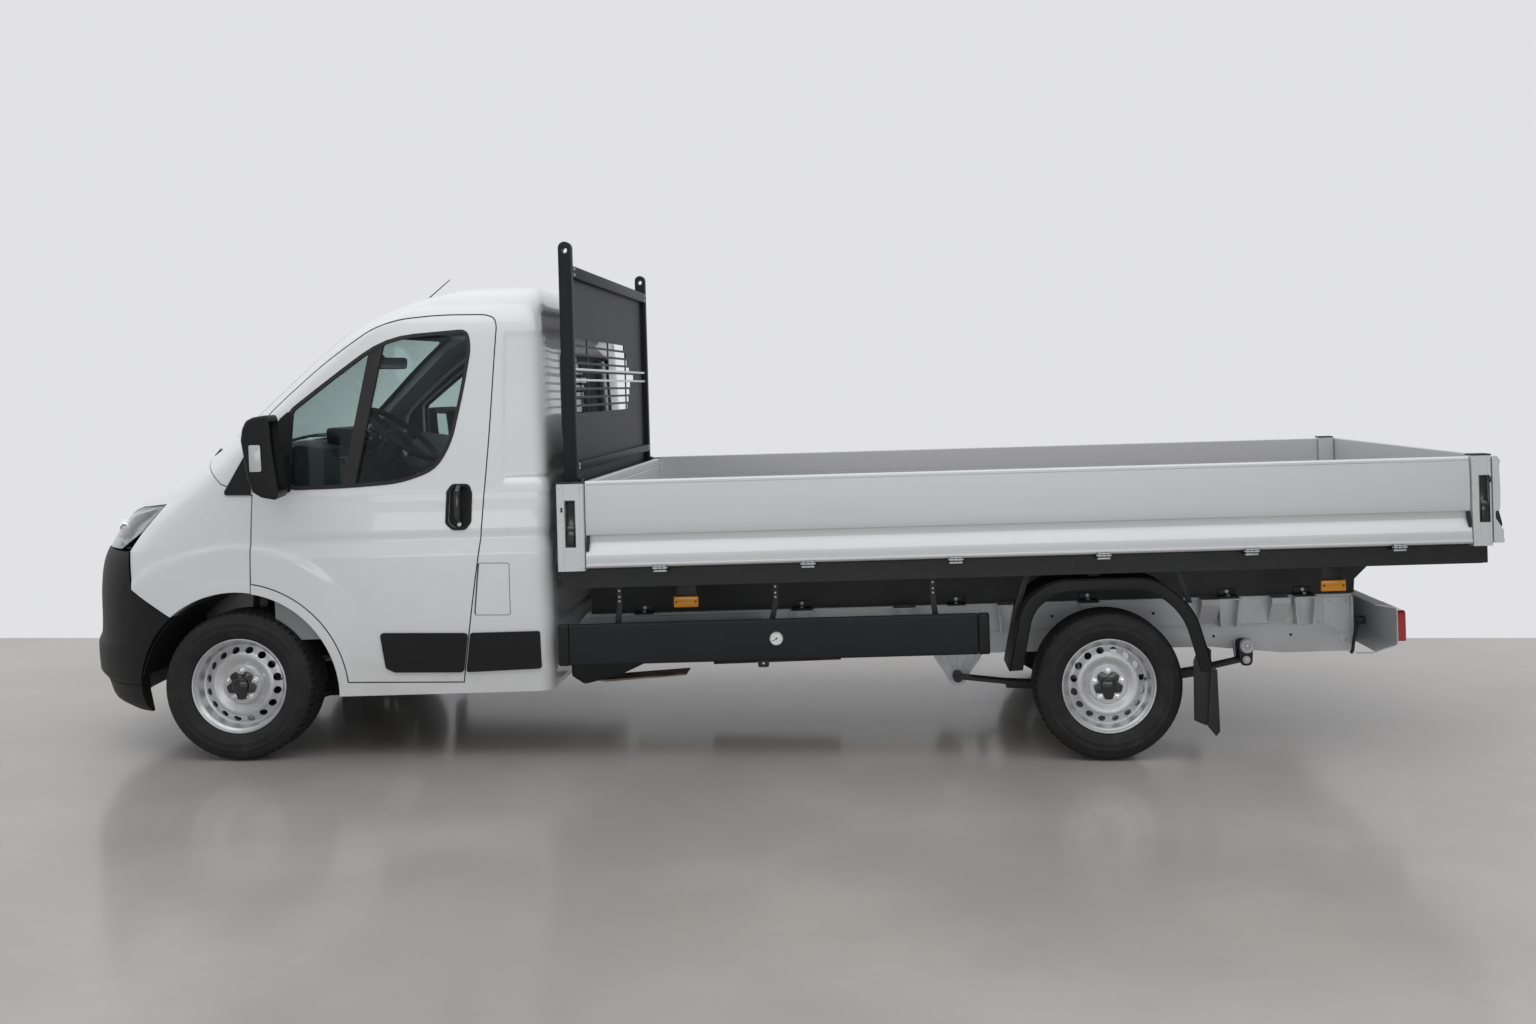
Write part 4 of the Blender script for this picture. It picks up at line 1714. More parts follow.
def build_guards():
    """Closed side guards with end caps, hangers, a stay and the round gauge on the left."""
    (front, rear), (low, high) = GUARD_SPAN, GUARD_HEIGHTS
    outer, depth = 1.03, 0.04
    section = rounded([(-outer, low), (-outer, high - 0.004), (-outer + 0.012, high + 0.004),
                       (-outer + depth, high), (-outer + depth, low)], 0.012, 4)
    panel = plate(section, "X", front + 0.052, rear - 0.055, 0.0012, 1)
    cap_section = grown(section, 0.0008)
    caps = [plate(cap_section, "X", front, front + 0.0505, 0.008, 4),
            plate(cap_section, "X", rear - 0.0535, rear, 0.01, 4)]
    both_sides("guard_panel", panel, "anthracite", "truck", ["side_guard_{}"], smooth=30.0)
    both_sides("guard_caps", caps, "black_plastic")
    straps, bolts = [], []
    for x, lean in GUARD_HANGERS:
        top, middle, foot = BEARER_UNDERSIDE, 0.665, high - 0.02
        outline = [(x - 0.013, top), (x + 0.013, top), (x + 0.013, middle), (x + lean + 0.014, foot),
                   (x + lean - 0.014, foot), (x - 0.013, middle)]
        straps.append(plate(outline, "Y", -outer + depth - 0.004, -outer + depth + 0.003, 0.0012))
        straps.append(block((x - 0.013, -outer + depth - 0.004, top - 0.006), (x + 0.013, -RAIL_FACE, top),
                            0.001))
        straps.append(block((x + lean - 0.014, -outer + depth - 0.002, low + 0.02),
                            (x + lean + 0.014, -outer + depth + 0.01, foot), 0.002))
        for z in (0.74, 0.712, 0.692):
            bolts.append(screw(x, -outer + depth - 0.004, z, (0, -1, 0), 0.0048, 0.002))
    both_sides("guard_hangers", straps, "black_paint")
    both_sides("guard_bolts", bolts, "cast_aluminium")
    stay = plate(rounded([(2.411, low + 0.004), (2.411, low - 0.032), (2.462, low - 0.032),
                          (2.462, low + 0.004)], 0.01, 4), "Y", -outer + 0.012, -outer + 0.017, 0.001)
    eye = bar((2.4365, -outer, low - 0.014), (2.4365, -outer + 0.03, low - 0.014), 0.006, 20)
    both_sides("guard_stays", carve(stay, eye), "black_paint")
    centre = (GAUGE_PLACE[0], -outer, GAUGE_PLACE[1])
    ring = lathe([(0.03, 0.001), (0.03, -0.005), (0.032, -0.0065), (0.0355, -0.005), (0.036, 0.001)],
                 centre, (0, 1, 0), 48)
    face = lathe([(0.0001, 0.001), (0.0001, -0.0022), (0.0302, -0.0022), (0.0302, 0.001)], centre,
                 (0, 1, 0), 48)
    marks = []
    for i in range(13):
        turn = math.radians(-210.0 + 20.0 * i)
        inner = 0.021 if i % 3 == 0 else 0.0235
        start = Vector((centre[0] + inner * math.cos(turn), centre[1] - 0.0024,
                        centre[2] - inner * math.sin(turn)))
        end = Vector((centre[0] + 0.027 * math.cos(turn), centre[1] - 0.0024,
                      centre[2] - 0.027 * math.sin(turn)))
        marks.append(bar(start, end, 0.0006, 6))
    marks.append(bar((centre[0] - 0.017, centre[1] - 0.0038, centre[2] - 0.011),
                     (centre[0] + 0.006, centre[1] - 0.0038, centre[2] + 0.004), 0.0013, 8, 0.0005))
    marks.append(bar((centre[0], centre[1] - 0.001, centre[2]), (centre[0], centre[1] - 0.006, centre[2]),
                     0.004, 20, bevel=0.0008))
    piece("gauge_ring", ring, "gloss_black")
    piece("gauge_face", face, "dial_white")
    piece("gauge_marks", marks, "gloss_black")


def build_mudguards():
    """Rear mudguards: flat lip, rolled edge, inner skin, stays and a folded flap."""
    outer = 1.055
    centre = (4.038, 0.34)
    path = rounded([(3.565, 0.33), (3.63, 0.646), (3.77, 0.742), (4.255, 0.742), (4.425, 0.6),
                    (4.51, 0.3)], 0.6, 9)[10:-10]
    path = [(3.565, 0.33)] + path + [(4.51, 0.3)]

    def drawn(points, share):
        return [(x + (centre[0] - x) * share, z + (centre[1] - z) * share) for x, z in points]

    lip = plate(path + list(reversed(drawn(path, 0.135))), "Y", -outer, -outer + 0.004, 0.0015)
    roll = plate(path + list(reversed(drawn(path, 0.022))), "Y", -outer, -outer + 0.018, 0.003)
    hem = plate(drawn(path, 0.123) + list(reversed(drawn(path, 0.135))), "Y", -outer, -outer + 0.013, 0.002)
    skin = plate(path + list(reversed(drawn(path, 0.011))), "Y", -outer + 0.014, -outer + 0.265, 0.001)
    ribs = [plate(path + list(reversed(drawn(path, 0.016))), "Y", -outer + y, -outer + y + 0.006, 0.002)
            for y in (0.085, 0.165, 0.258)]
    both_sides("mudguard", merged(lip, roll, hem, skin, *ribs), "black_plastic", "truck",
               ["rear_mudguard_{}"], smooth=35.0)
    flap = plate(rounded([(4.409, 0.08), (4.413, 0.352), (4.452, 0.452), (4.47, 0.42), (4.492, 0.33),
                          (4.47, 0.052)], 0.006, 2), "Y", -outer + 0.004, -outer + 0.01, 0.0015)
    fold = plate(rounded([(4.47, 0.052), (4.492, 0.33), (4.52, 0.31), (4.526, 0.028), (4.508, 0.004)],
                         0.006, 2), "Y", -outer - 0.002, -outer + 0.006, 0.0015)
    sheet = plate([(4.48, 0.05), (4.486, 0.048), (4.498, 0.4), (4.49, 0.4)], "Y", -outer + 0.012,
                  -outer + 0.255, 0.001)
    both_sides("mud_flap", merged(flap, fold, sheet), "rubber_seal")
    stays = []
    for foot, head in (((3.598, 0.553), (3.665, 0.764)), ((4.415, 0.61), (4.368, 0.764))):
        outline = [(foot[0] - 0.014, foot[1]), (foot[0] + 0.014, foot[1]), (head[0] + 0.015, head[1]),
                   (head[0] - 0.015, head[1])]
        stays.append(plate(outline, "Y", -outer + 0.06, -outer + 0.066, 0.001))
    hanger = block((3.95, -outer + 0.095, 0.735), (4.01, -outer + 0.155, 0.7647), 0.003)
    both_sides("mudguard_stays", merged(*stays, hanger), "black_paint")


HOLE_RADIUS = 0.0062


def holes(places, side_y):
    """Dark drilled holes, each a small countersunk cup let into the sheet."""
    profile = [(HOLE_RADIUS, -0.0006), (HOLE_RADIUS * 1.12, -0.0009), (HOLE_RADIUS * 1.2, 0.001),
               (HOLE_RADIUS, 0.003), (0.0001, 0.003), (0.0001, -0.0002)]
    return merged(*[lathe(profile, (x, side_y, z), (0, 1, 0), 18) for x, z in places])


def build_frame_details():
    """Ledges, brackets, plates, bolts and hangers on the outside of the frame rails."""
    face = -RAIL_FACE
    plates = [
        plate([(1.5, 0.534), (1.5, 0.5497), (5.345, 0.5497), (5.345, 0.534)], "Y", face - 0.016, face,
              0.002),
        plate([(1.5, 0.401), (1.5, 0.408), (5.2, 0.408), (5.2, 0.401)], "Y", face - 0.006, face, 0.002),
        plate([(4.0, 0.303), (4.0, 0.398), (5.2, 0.396), (5.262, 0.372), (5.276, 0.268), (5.0, 0.2605),
               (4.82, 0.283),
               (4.64, 0.303)], "Y", face - 0.004, face, 0.0012),
        plate(rounded([(5.203, 0.532), (5.346, 0.532), (5.346, 0.3), (5.318, 0.266), (5.29, 0.28),
                       (5.268, 0.372),
                       (5.203, 0.398)], 0.012, 4), "Y", face - 0.006, face, 0.0015),
        plate(rounded([(5.336, 0.541), (5.346, 0.541), (5.346, 0.292), (5.336, 0.292)], 0.003, 2), "Y",
              face - 0.03, face, 0.0015),
        plate(rounded([(3.233, 0.402), (3.233, 0.314), (3.253, 0.272), (3.304, 0.196), (3.356, 0.1515),
                       (3.408, 0.196), (3.47, 0.272), (3.491, 0.314), (3.491, 0.402)], 0.045, 5), "Y",
              face - 0.0245, face - 0.0185, 0.0025),
        block((3.233, face - 0.024, 0.33), (3.491, face, 0.34), 0.002),
    ]
    for start, end in (((3.288, 0.33), (3.338, 0.222)), ((3.424, 0.33), (3.374, 0.222)),
                       ((3.262, 0.3), (3.292, 0.248)), ((3.452, 0.3), (3.42, 0.248)),
                       ((3.356, 0.335), (3.356, 0.278))):
        plates.append(bar((start[0], face - 0.0255, start[1]), (end[0], face - 0.0255, end[1]), 0.0045, 12))
    for x in BRACKETS:
        low, high = 0.405, 0.5495
        for lean in (-1, 1):
            plates.append(plate([(x + lean * 0.055, high), (x + lean * 0.049, high), (x + lean * 0.03, low),
                                 (x + lean * 0.046, low)], "Y", face - 0.062, face, 0.001))
        plates.append(block((x - 0.055, face - 0.075, high - 0.006), (x + 0.055, face, high), 0.002))
        plates.append(plate([(x - 0.04, low), (x + 0.04, low), (x + 0.052, high), (x - 0.052, high)], "Y",
                            face - 0.005, face, 0.001))
    both_sides("frame_plates", plates, "frame_grey", smooth=30.0)
    bolts = [bolt_head((x, face - 0.006, z), (0, -1, 0), 0.0065)
             for x, z in ((5.231, 0.51), (5.312, 0.51), (5.234, 0.413), (5.316, 0.41), (5.282, 0.355),
                          (5.314, 0.315))]
    bolts.append(bolt_head((3.356, face - 0.0245, 0.2), (0, -1, 0), 0.014))
    both_sides("frame_bolts", bolts, "cast_aluminium", smooth=30.0)
    both_sides("frame_holes", holes([(4.649, 0.352), (5.037, 0.349), (2.05, 0.475), (2.86, 0.475),
                                     (3.84, 0.475), (4.35, 0.475), (1.62, 0.455)], face - 0.0041),
               "rubber_seal", "truck")
    clamps, clamp_bolts = [], []
    for x in CLAMPS:
        clamps.append(plate([(x - 0.046, 0.552), (x + 0.046, 0.552), (x + 0.04, 0.59), (x - 0.04, 0.59)],
                            "Y", face - 0.008, face + 0.002, 0.0015))
        clamps.append(block((x - 0.046, face - 0.06, 0.5505), (x + 0.046, face, 0.5585), 0.0015))
        clamp_bolts.append(bolt_head((x, face - 0.036, 0.5585), (0, 0, 1), 0.008))
        clamp_bolts.append(bolt_head((x, face - 0.008, 0.575), (0, -1, 0), 0.006))
    both_sides("bed_clamps", clamps, "black_paint")
    both_sides("clamp_bolts", clamp_bolts, "cast_aluminium", smooth=30.0)


def build_springs():
    """Leaf ends, shackles, U-bolts and dampers at the rear axle."""
    steel, leaves = [], []
    x, z = SPRING_EYES[1]
    for y in (-0.568, -0.492):
        outline = rounded([(x - 0.03, z - 0.03), (x + 0.03, z - 0.03), (x + 0.036, z + 0.092),
                           (x - 0.036, z + 0.092)], 0.028, 5)
        leaves.append(plate(outline, "Y", y - 0.004, y + 0.004, 0.0015))
    both_sides("spring_shackle", leaves, "black_paint")
    for place in ((x, z), (x + 0.004, z + 0.068)):
        steel.append(bolt_head((place[0], -0.572, place[1]), (0, -1, 0), 0.013))
    ring = lathe([(0.015, -0.004), (0.03, -0.006), (0.036, 0.0), (0.036, 0.018), (0.015, 0.018)],
                 (x + 0.004, -0.578, z + 0.068), (0, 1, 0), 32)
    both_sides("shackle_bush", ring, "frame_grey")
    both_sides("shackle_bolts", steel, "cast_aluminium", smooth=30.0)
    axle_x, axle_z = REAR_AXLE
    ties = []
    for dx in (-0.055, 0.055):
        points = [(axle_x + dx, -0.582, axle_z - 0.11), (axle_x + dx, -0.582, axle_z + 0.04),
                  (axle_x + dx, -0.57, axle_z + 0.062), (axle_x + dx, -0.49, axle_z + 0.062),
                  (axle_x + dx, -0.478, axle_z + 0.04), (axle_x + dx, -0.478, axle_z - 0.11)]
        ties.append(tube(rounded_path(points, 0.02, 4), 0.007, 10))
        for y in (-0.582, -0.478):
            ties.append(bolt_head((axle_x + dx, y, axle_z - 0.098), (0, 0, -1), 0.01))
    both_sides("axle_ties", ties, "cast_aluminium", smooth=35.0)
    damper = merged(bar((3.93, -0.43, 0.26), (3.84, -0.4, 0.42), 0.026, 24, bevel=0.004),
                    bar((3.86, -0.407, 0.39), (3.82, -0.393, 0.465), 0.034, 24, bevel=0.004))
    both_sides("damper", damper, "black_paint")


def build_lamps_and_wires():
    """Amber side lamps on their plates, the rear lamps, the load-sensor arm and the wire loop."""
    lamps, plates, screws = [], [], []
    for x, z in SIDE_LAMPS:
        lamps.append(block((x - 0.058, -0.922, z - 0.026), (x + 0.058, -0.9, z + 0.026), 0.005, 3))
        plates.append(plate([(x - 0.05, z - 0.03), (x + 0.05, z - 0.03), (x + 0.05, z + 0.03),
                             (x + 0.04, 0.7643), (x - 0.04, 0.7643), (x - 0.05, z + 0.03)], "Y", -0.8995,
                            -0.896, 0.0006))
        for dx in (-0.045, 0.045):
            screws.append(screw(x + dx, -0.922, z, (0, -1, 0), 0.005, 0.0016))
    both_sides("side_lamps", lamps, "amber_lens")
    both_sides("side_lamp_plates", plates, "black_paint")
    both_sides("side_lamp_screws", screws, "gloss_black")
    near, far = REAR_CHANNEL
    bar_sheet = plate([(near, 0.545), (far - 0.008, 0.5268), (far, 0.519), (far, 0.35),
                       (far - 0.008, 0.3425), (near, 0.314), (near, 0.3185), (far - 0.01, 0.3475),
                       (far - 0.0045, 0.353), (far - 0.0045, 0.516), (far - 0.01, 0.5222), (near, 0.5405)],
                      "Y", -0.79, 0.79)
    back = block((near, -0.46, 0.316), (near + 0.0035, 0.46, 0.543))
    piece("rear_channel", merged(bar_sheet, back), "frame_grey", "truck", ["light_bar"], smooth=30.0)
    wires = [
        tube(rounded_path([(5.375, -0.52, 0.432), (5.352, -0.53, 0.418), (5.33, -0.54, 0.33),
                           (5.322, -0.54, 0.272),
                           (5.312, -0.54, 0.2625)], 0.03, 5), 0.0085, 10),
        block((5.352, -0.545, 0.405), (5.392, -0.505, 0.442), 0.006, 3),
    ]
    piece("sensor_arm", wires, "black_paint", smooth=40.0)
    loop = tube(rounded_path([(5.372, -0.54, 0.318), (5.392, -0.55, 0.3), (5.434, -0.56, 0.264),
                              (5.335, -0.55, 0.2635)], 0.02, 5), 0.0035, 8)
    piece("wire_loop", loop, "frame_grey")


def build_tank_and_exhaust():
    """Tank with its straps and seam, and the heat shield over the exhaust."""
    outline = rounded([(1.52, 0.33), (1.58, 0.29), (1.74, 0.325), (1.9, 0.395), (2.4, 0.425), (2.4, 0.5),
                       (1.52, 0.5)], 0.02, 5)
    tank = plate(outline, "Y", -0.9, -RAIL_FACE - 0.0003, 0.014, 3)
    seam = plate(grown(outline, 0.006), "Y", -0.7, -0.694, 0.002)
    piece("tank_body", merged(tank, seam), "black_plastic", "truck", ["fuel_tank"], smooth=40.0)
    straps = []
    for x in (1.84, 2.26):
        straps.append(block((x - 0.018, -0.903, 0.41), (x + 0.018, -0.901, 0.5015), 0.0005))
        straps.append(block((x - 0.018, -0.903, 0.5005), (x + 0.018, -0.4705, 0.5025), 0.0005))
    piece("tank_straps", straps, "black_paint")
    shield = plate(rounded([(1.5, 0.262), (1.62, 0.24), (2.02, 0.262), (2.02, 0.27), (1.62, 0.25),
                            (1.5, 0.272)], 0.003, 2), "Y", -0.62, -0.48, 0.002)
    piece("heat_shield", shield, "exhaust_steel")


# Inside the cab

SEAT_CUSHION = [(0.752, 0.926), (0.75, 1.016), (1.19, 1.0), (1.19, 0.918)]
SEAT_BACK = [(1.134, 0.972), (1.25, 1.548), (1.328, 1.548), (1.262, 0.952)]
HEAD_REST = [(1.244, 1.552), (1.256, 1.728), (1.312, 1.728), (1.32, 1.552)]
WHEEL_CENTRE = Vector((0.6, -0.46, 1.48))
WHEEL_AXIS = Vector((math.cos(math.radians(50)), 0.0, math.sin(math.radians(50))))
PADS = (  # name, side outline, low y, high y, corner, most swelling, fill
    ("driver_cushion", SEAT_CUSHION, -0.705, -0.215, 0.045, 0.012, 0.75),
    ("driver_back", SEAT_BACK, -0.705, -0.215, 0.045, 0.012, 0.75),
    ("bench_cushion", SEAT_CUSHION, -0.085, 0.785, 0.045, 0.012, 0.75),
    ("bench_back", SEAT_BACK, -0.085, 0.785, 0.045, 0.012, 0.75),
    ("driver_head_rest", HEAD_REST, -0.58, -0.34, 0.03, 0.008, 0.85),
    ("bench_head_rest_inner", HEAD_REST, 0.008, 0.242, 0.03, 0.008, 0.85),
    ("bench_head_rest_outer", HEAD_REST, 0.458, 0.692, 0.03, 0.008, 0.85),
)
PAD_OWNERS = {"driver_cushion": ["driver_seat"], "bench_cushion": ["passenger_bench"]}
VOXEL = 0.009
SWELL_FRAMES = 20
SEAT_SPANS = ((-0.68, -0.24), (-0.06, 0.76))


def pad_form(outline, low, high, corner):
    """The plain form of a pad before it swells."""
    return plate(rounded(outline, corner, 5), "Y", low, high, 0.035, 4)


def start_pad(name, outline, low, high, corner):
    """A loose pad with its voxel mesh and its Cloth, held along its lower or rear face."""
    holder = loose(name, pad_form(outline, low, high, corner))
    remesh = holder.modifiers.new("even", "REMESH")
    remesh.mode = "VOXEL"
    remesh.voxel_size = VOXEL
    graph = bpy.context.evaluated_depsgraph_get()
    holder.data = bpy.data.meshes.new_from_object(holder.evaluated_get(graph))
    holder.modifiers.clear()
    (x0, z0), (x1, z1) = outline[0], outline[3]
    across = Vector((z1 - z0, -(x1 - x0)))
    if across.dot(Vector(outline[1]) - Vector(outline[0])) > 0:
        across = -across
    across.normalize()
    held = holder.vertex_groups.new(name="held")
    upright = abs(z1 - z0) < abs(outline[1][1] - z0) and outline[1][1] - z0 > 0.3
    for vertex in holder.data.vertices:
        x, z = vertex.co.x, vertex.co.z
        if upright:
            t = (z - outline[3][1]) / (outline[2][1] - outline[3][1])
            rear = outline[3][0] + (outline[2][0] - outline[3][0]) * t
            if rear - x < 0.02:
                held.add([vertex.index], 1.0, "REPLACE")
        elif z - min(z0, z1) < 0.022:
            held.add([vertex.index], 1.0, "REPLACE")
    cloth = holder.modifiers.new("swell", "CLOTH")
    cloth.settings.quality = 4
    cloth.settings.mass = 0.3
    cloth.settings.use_pressure = True
    cloth.settings.uniform_pressure_force = 4.0
    cloth.settings.vertex_group_mass = "held"
    cloth.settings.effector_weights.gravity = 0.0
    cloth.point_cache.frame_end = SWELL_FRAMES
    return holder


def sewn(place, low, high):
    """How far a point sinks at the sewn channels."""
    middle, half = (low + high) / 2, (high - low) / 2
    if half < 0.3:
        lines = [middle - half * 0.56, middle + half * 0.56]
    else:
        lines = [middle - half * 0.62, middle - 0.05, middle + 0.05, middle + half * 0.62]
    sink = 0.0
    for y in lines:
        sink += 0.006 * math.exp(-((place.y - y) / 0.009) ** 2)
    return sink


def finish_pad(holder, name, low, high, most):
    """The swollen pad as a finished piece, with its sewn channels."""
    start = [vertex.co.copy() for vertex in holder.data.vertices]
    graph = bpy.context.evaluated_depsgraph_get()
    mesh = bpy.data.meshes.new_from_object(holder.evaluated_get(graph))
    shape = bmesh.new()
    shape.from_mesh(mesh)
    shape.verts.ensure_lookup_table()
    for vertex, home in zip(shape.verts, start):
        shift = vertex.co - home
        if shift.length > most:
            vertex.co = home + shift.normalized() * most
    bmesh.ops.smooth_vert(shape, verts=shape.verts, factor=0.5, use_axis_x=True, use_axis_y=True,
                          use_axis_z=True)
    shape.normal_update()
    if "head" not in name:
        for vertex in shape.verts:
            if vertex.normal.z > 0.3 or vertex.normal.x < -0.3:
                vertex.co -= vertex.normal * sewn(vertex.co, low, high)
    bpy.data.meshes.remove(mesh)
    bpy.data.meshes.remove(holder.data)
    owner = PAD_OWNERS.get(name, ())
    pad = piece(name, shape, "seat_cloth", "truck", owner, slot="seat_cloth", smooth=70.0)
    smooth = pad.modifiers.new("smooth", "SUBSURF")
    smooth.levels = smooth.render_levels = 1


def build_seats():
    """Sewn seat pads swollen by a cloth simulation, on their plinths, with head rests on rods."""
    scene = bpy.context.scene
    holders = [start_pad(*row[:5]) for row in PADS]
    for frame in range(1, SWELL_FRAMES + 1):
        scene.frame_set(frame)
    for holder, (name, _, low, high, _, most, fill) in zip(holders, PADS):
        finish_pad(holder, name, low, high, most)
    scene.frame_set(1)
    plinths, rods, shells = [], [], []
    for low, high in SEAT_SPANS:
        plinths.append(block((0.82, low, FLOOR + 0.0005), (1.22, high, FLOOR + 0.355), 0.012, 3))
        plinths.append(block((0.8, low - 0.02, FLOOR + 0.355), (1.23, high + 0.02, FLOOR + 0.382), 0.008,
                             2))
        for y in (low + 0.03, high - 0.03):
            plinths.append(block((0.77, y - 0.02, FLOOR + 0.0005), (1.24, y + 0.02, FLOOR + 0.03), 0.004))
        shells.append(plate(rounded([(1.272, 0.955), (1.336, 1.54), (1.343, 1.54), (1.28, 0.955)], 0.003,
                                    2), "Y", low - 0.02, high + 0.02, 0.002))
    for _, _, low, high, *_ in PADS[4:]:
        for y in (0.7 * low + 0.3 * high, 0.3 * low + 0.7 * high):
            rods.append(bar((1.275, y, 1.5), (1.284, y, 1.59), 0.006, 16))
    piece("seat_plinths", merged(*plinths, *shells), "interior_plastic", smooth=40.0)
    piece("head_rest_rods", rods, "chrome")


RIM_RADIUS, RIM_THICKNESS, RIM_SIDES = 0.193, 0.015, 14


def build_steering_wheel():
    """Padded rim, three spokes, boss, column cowl and stalks."""
    turn = Matrix.Translation(WHEEL_CENTRE) @ WHEEL_AXIS.to_track_quat("Z", "Y").to_matrix().to_4x4()
    turns = [math.tau * i / RIM_SIDES for i in range(RIM_SIDES)]
    profile = [(RIM_RADIUS + RIM_THICKNESS * math.cos(a), RIM_THICKNESS * math.sin(a)) for a in turns]
    rim = lathe(profile, WHEEL_CENTRE, WHEEL_AXIS, 72)
    shapes = []
    for angle in (0.0, 180.0, 270.0):
        spoke = block((0.05, -0.022, -0.024), (0.186, 0.022, -0.006), 0.006, 3)
        bmesh.ops.transform(spoke, matrix=turn @ Matrix.Rotation(math.radians(angle + 90.0), 4, "Z"),
                            verts=spoke.verts)
        shapes.append(spoke)
    boss = lathe([(0.0001, 0.006), (0.045, 0.002), (0.066, -0.01), (0.07, -0.024), (0.06, -0.045),
                  (0.0001, -0.05)], WHEEL_CENTRE, WHEEL_AXIS, 48)
    cowl = bar(WHEEL_CENTRE - WHEEL_AXIS * 0.185, WHEEL_CENTRE - WHEEL_AXIS * 0.045, 0.062, 32, 0.048,
               0.008)
    stalks = []
    for side in (-1, 1):
        start = WHEEL_CENTRE - WHEEL_AXIS * 0.075
        stalks.append(bar(start, start + Vector((0.01, side * 0.165, 0.02)), 0.0075, 12, 0.01))
    piece("steering_wheel_rim", merged(rim, *shapes, boss), "interior_plastic", "truck", ["steering_wheel"],
          smooth=45.0)
    piece("steering_column", merged(cowl, *stalks), "interior_plastic", smooth=40.0)


def build_dashboard():
    """Dashboard with its instrument hood, air vents, centre controls and glove box."""
    outline = rounded([(0.1605, 0.93), (0.1605, 1.395), (0.25, 1.455), (0.398, 1.435), (0.486, 1.338),
                       (0.506, 1.1), (0.495, 0.966), (0.425, 0.89)], 0.03, 5)
    body = plate(outline, "Y", -0.895, 0.895, 0.012, 3)
    hood = plate(rounded([(0.29, 1.43), (0.285, 1.528), (0.4, 1.516), (0.466, 1.452), (0.42, 1.4)], 0.02,
                         4), "Y", -0.63, -0.3, 0.022, 4)
    stack = plate(rounded([(0.48, 0.82), (0.47, 1.37), (0.532, 1.3), (0.572, 1.05), (0.6, 0.83)], 0.02, 4),
                  "Y", -0.17, 0.12, 0.012, 3)
    lever = merged(bar((0.545, -0.02, 1.1), (0.605, -0.02, 1.19), 0.008, 12),
                   lathe([(0.0001, 0.022), (0.016, 0.018), (0.022, 0.004), (0.018, -0.014), (0.01, -0.026),
                          (0.0001, -0.026)], (0.612, -0.02, 1.205), (0.4, 0, 1), 28))
    glove = plate(rounded([(0.497, 1.12), (0.484, 1.29), (0.497, 1.29), (0.511, 1.12)], 0.002, 2), "Y",
                  0.33, 0.8, 0.003)
    piece("dashboard_body", merged(body, hood, stack, lever, glove), "interior_plastic", "truck",
          ["dashboard"], smooth=38.0)
    details = []
    for y in (-0.79, -0.115, 0.065, 0.79):
        details.append(block((0.432, y - 0.055, 1.342), (0.482, y + 0.055, 1.39), 0.008, 3))
        for i in range(4):
            z = 1.352 + 0.0085 * i
            details.append(block((0.48, y - 0.048, z - 0.0012), (0.4875, y + 0.048, z + 0.0012)))
    for z in (1.25, 1.19, 1.13):
        for y in (-0.105, -0.025, 0.055):
            x = 0.53 + (1.3 - z) * 0.16
            details.append(lathe([(0.0001, 0.014), (0.016, 0.013), (0.019, 0.004), (0.019, -0.006),
                                  (0.0001, -0.006)], (x, y, z), (1, 0, 0.15), 24))
    dials = [lathe([(0.0001, 0.004), (0.034, 0.004), (0.038, 0.008), (0.041, 0.004), (0.041, -0.004),
                    (0.0001, -0.004)], (0.434, y, 1.484), (1.0, 0.0, 1.0), 36) for y in (-0.525, -0.405)]
    piece("dashboard_controls", merged(*details, *dials), "gloss_black", smooth=40.0)
    turn = Matrix.Translation((0.375, 0.0, 1.85)) @ Matrix.Rotation(math.radians(-28.0), 4, "Z")
    back = plate(rounded([(-0.115, -0.03), (0.115, -0.03), (0.12, 0.032), (-0.12, 0.032)], 0.022, 4), "X",
                 -0.012, 0.012, 0.006, 3)
    face = plate(rounded([(-0.108, -0.024), (0.108, -0.024), (0.113, 0.026), (-0.113, 0.026)], 0.018, 4),
                 "X", 0.012, 0.0135)
    for shape in (back, face):
        bmesh.ops.transform(shape, matrix=turn, verts=shape.verts)
    stem = tube(rounded_path([(0.365, 0.0, 1.865), (0.33, 0.0, 1.9), (0.3, 0.0, 1.915)], 0.02), 0.008, 12)
    piece("inside_mirror", merged(back, stem), "gloss_black", smooth=40.0)
    piece("inside_mirror_glass", face, "chrome")
    pedals = []
    for y, width in ((-0.33, 0.03), (-0.45, 0.032), (-0.56, 0.03)):
        pedals.append(plate(rounded([(y - width, 0.64), (y + width, 0.64), (y + width, 0.72),
                                     (y - width, 0.72)], 0.008, 3), "X", 0.33, 0.342, 0.003))
        pedals.append(bar((0.335, y, 0.7), (0.24, y, 0.9), 0.008, 12))
    piece("pedals", pedals, "gloss_black")


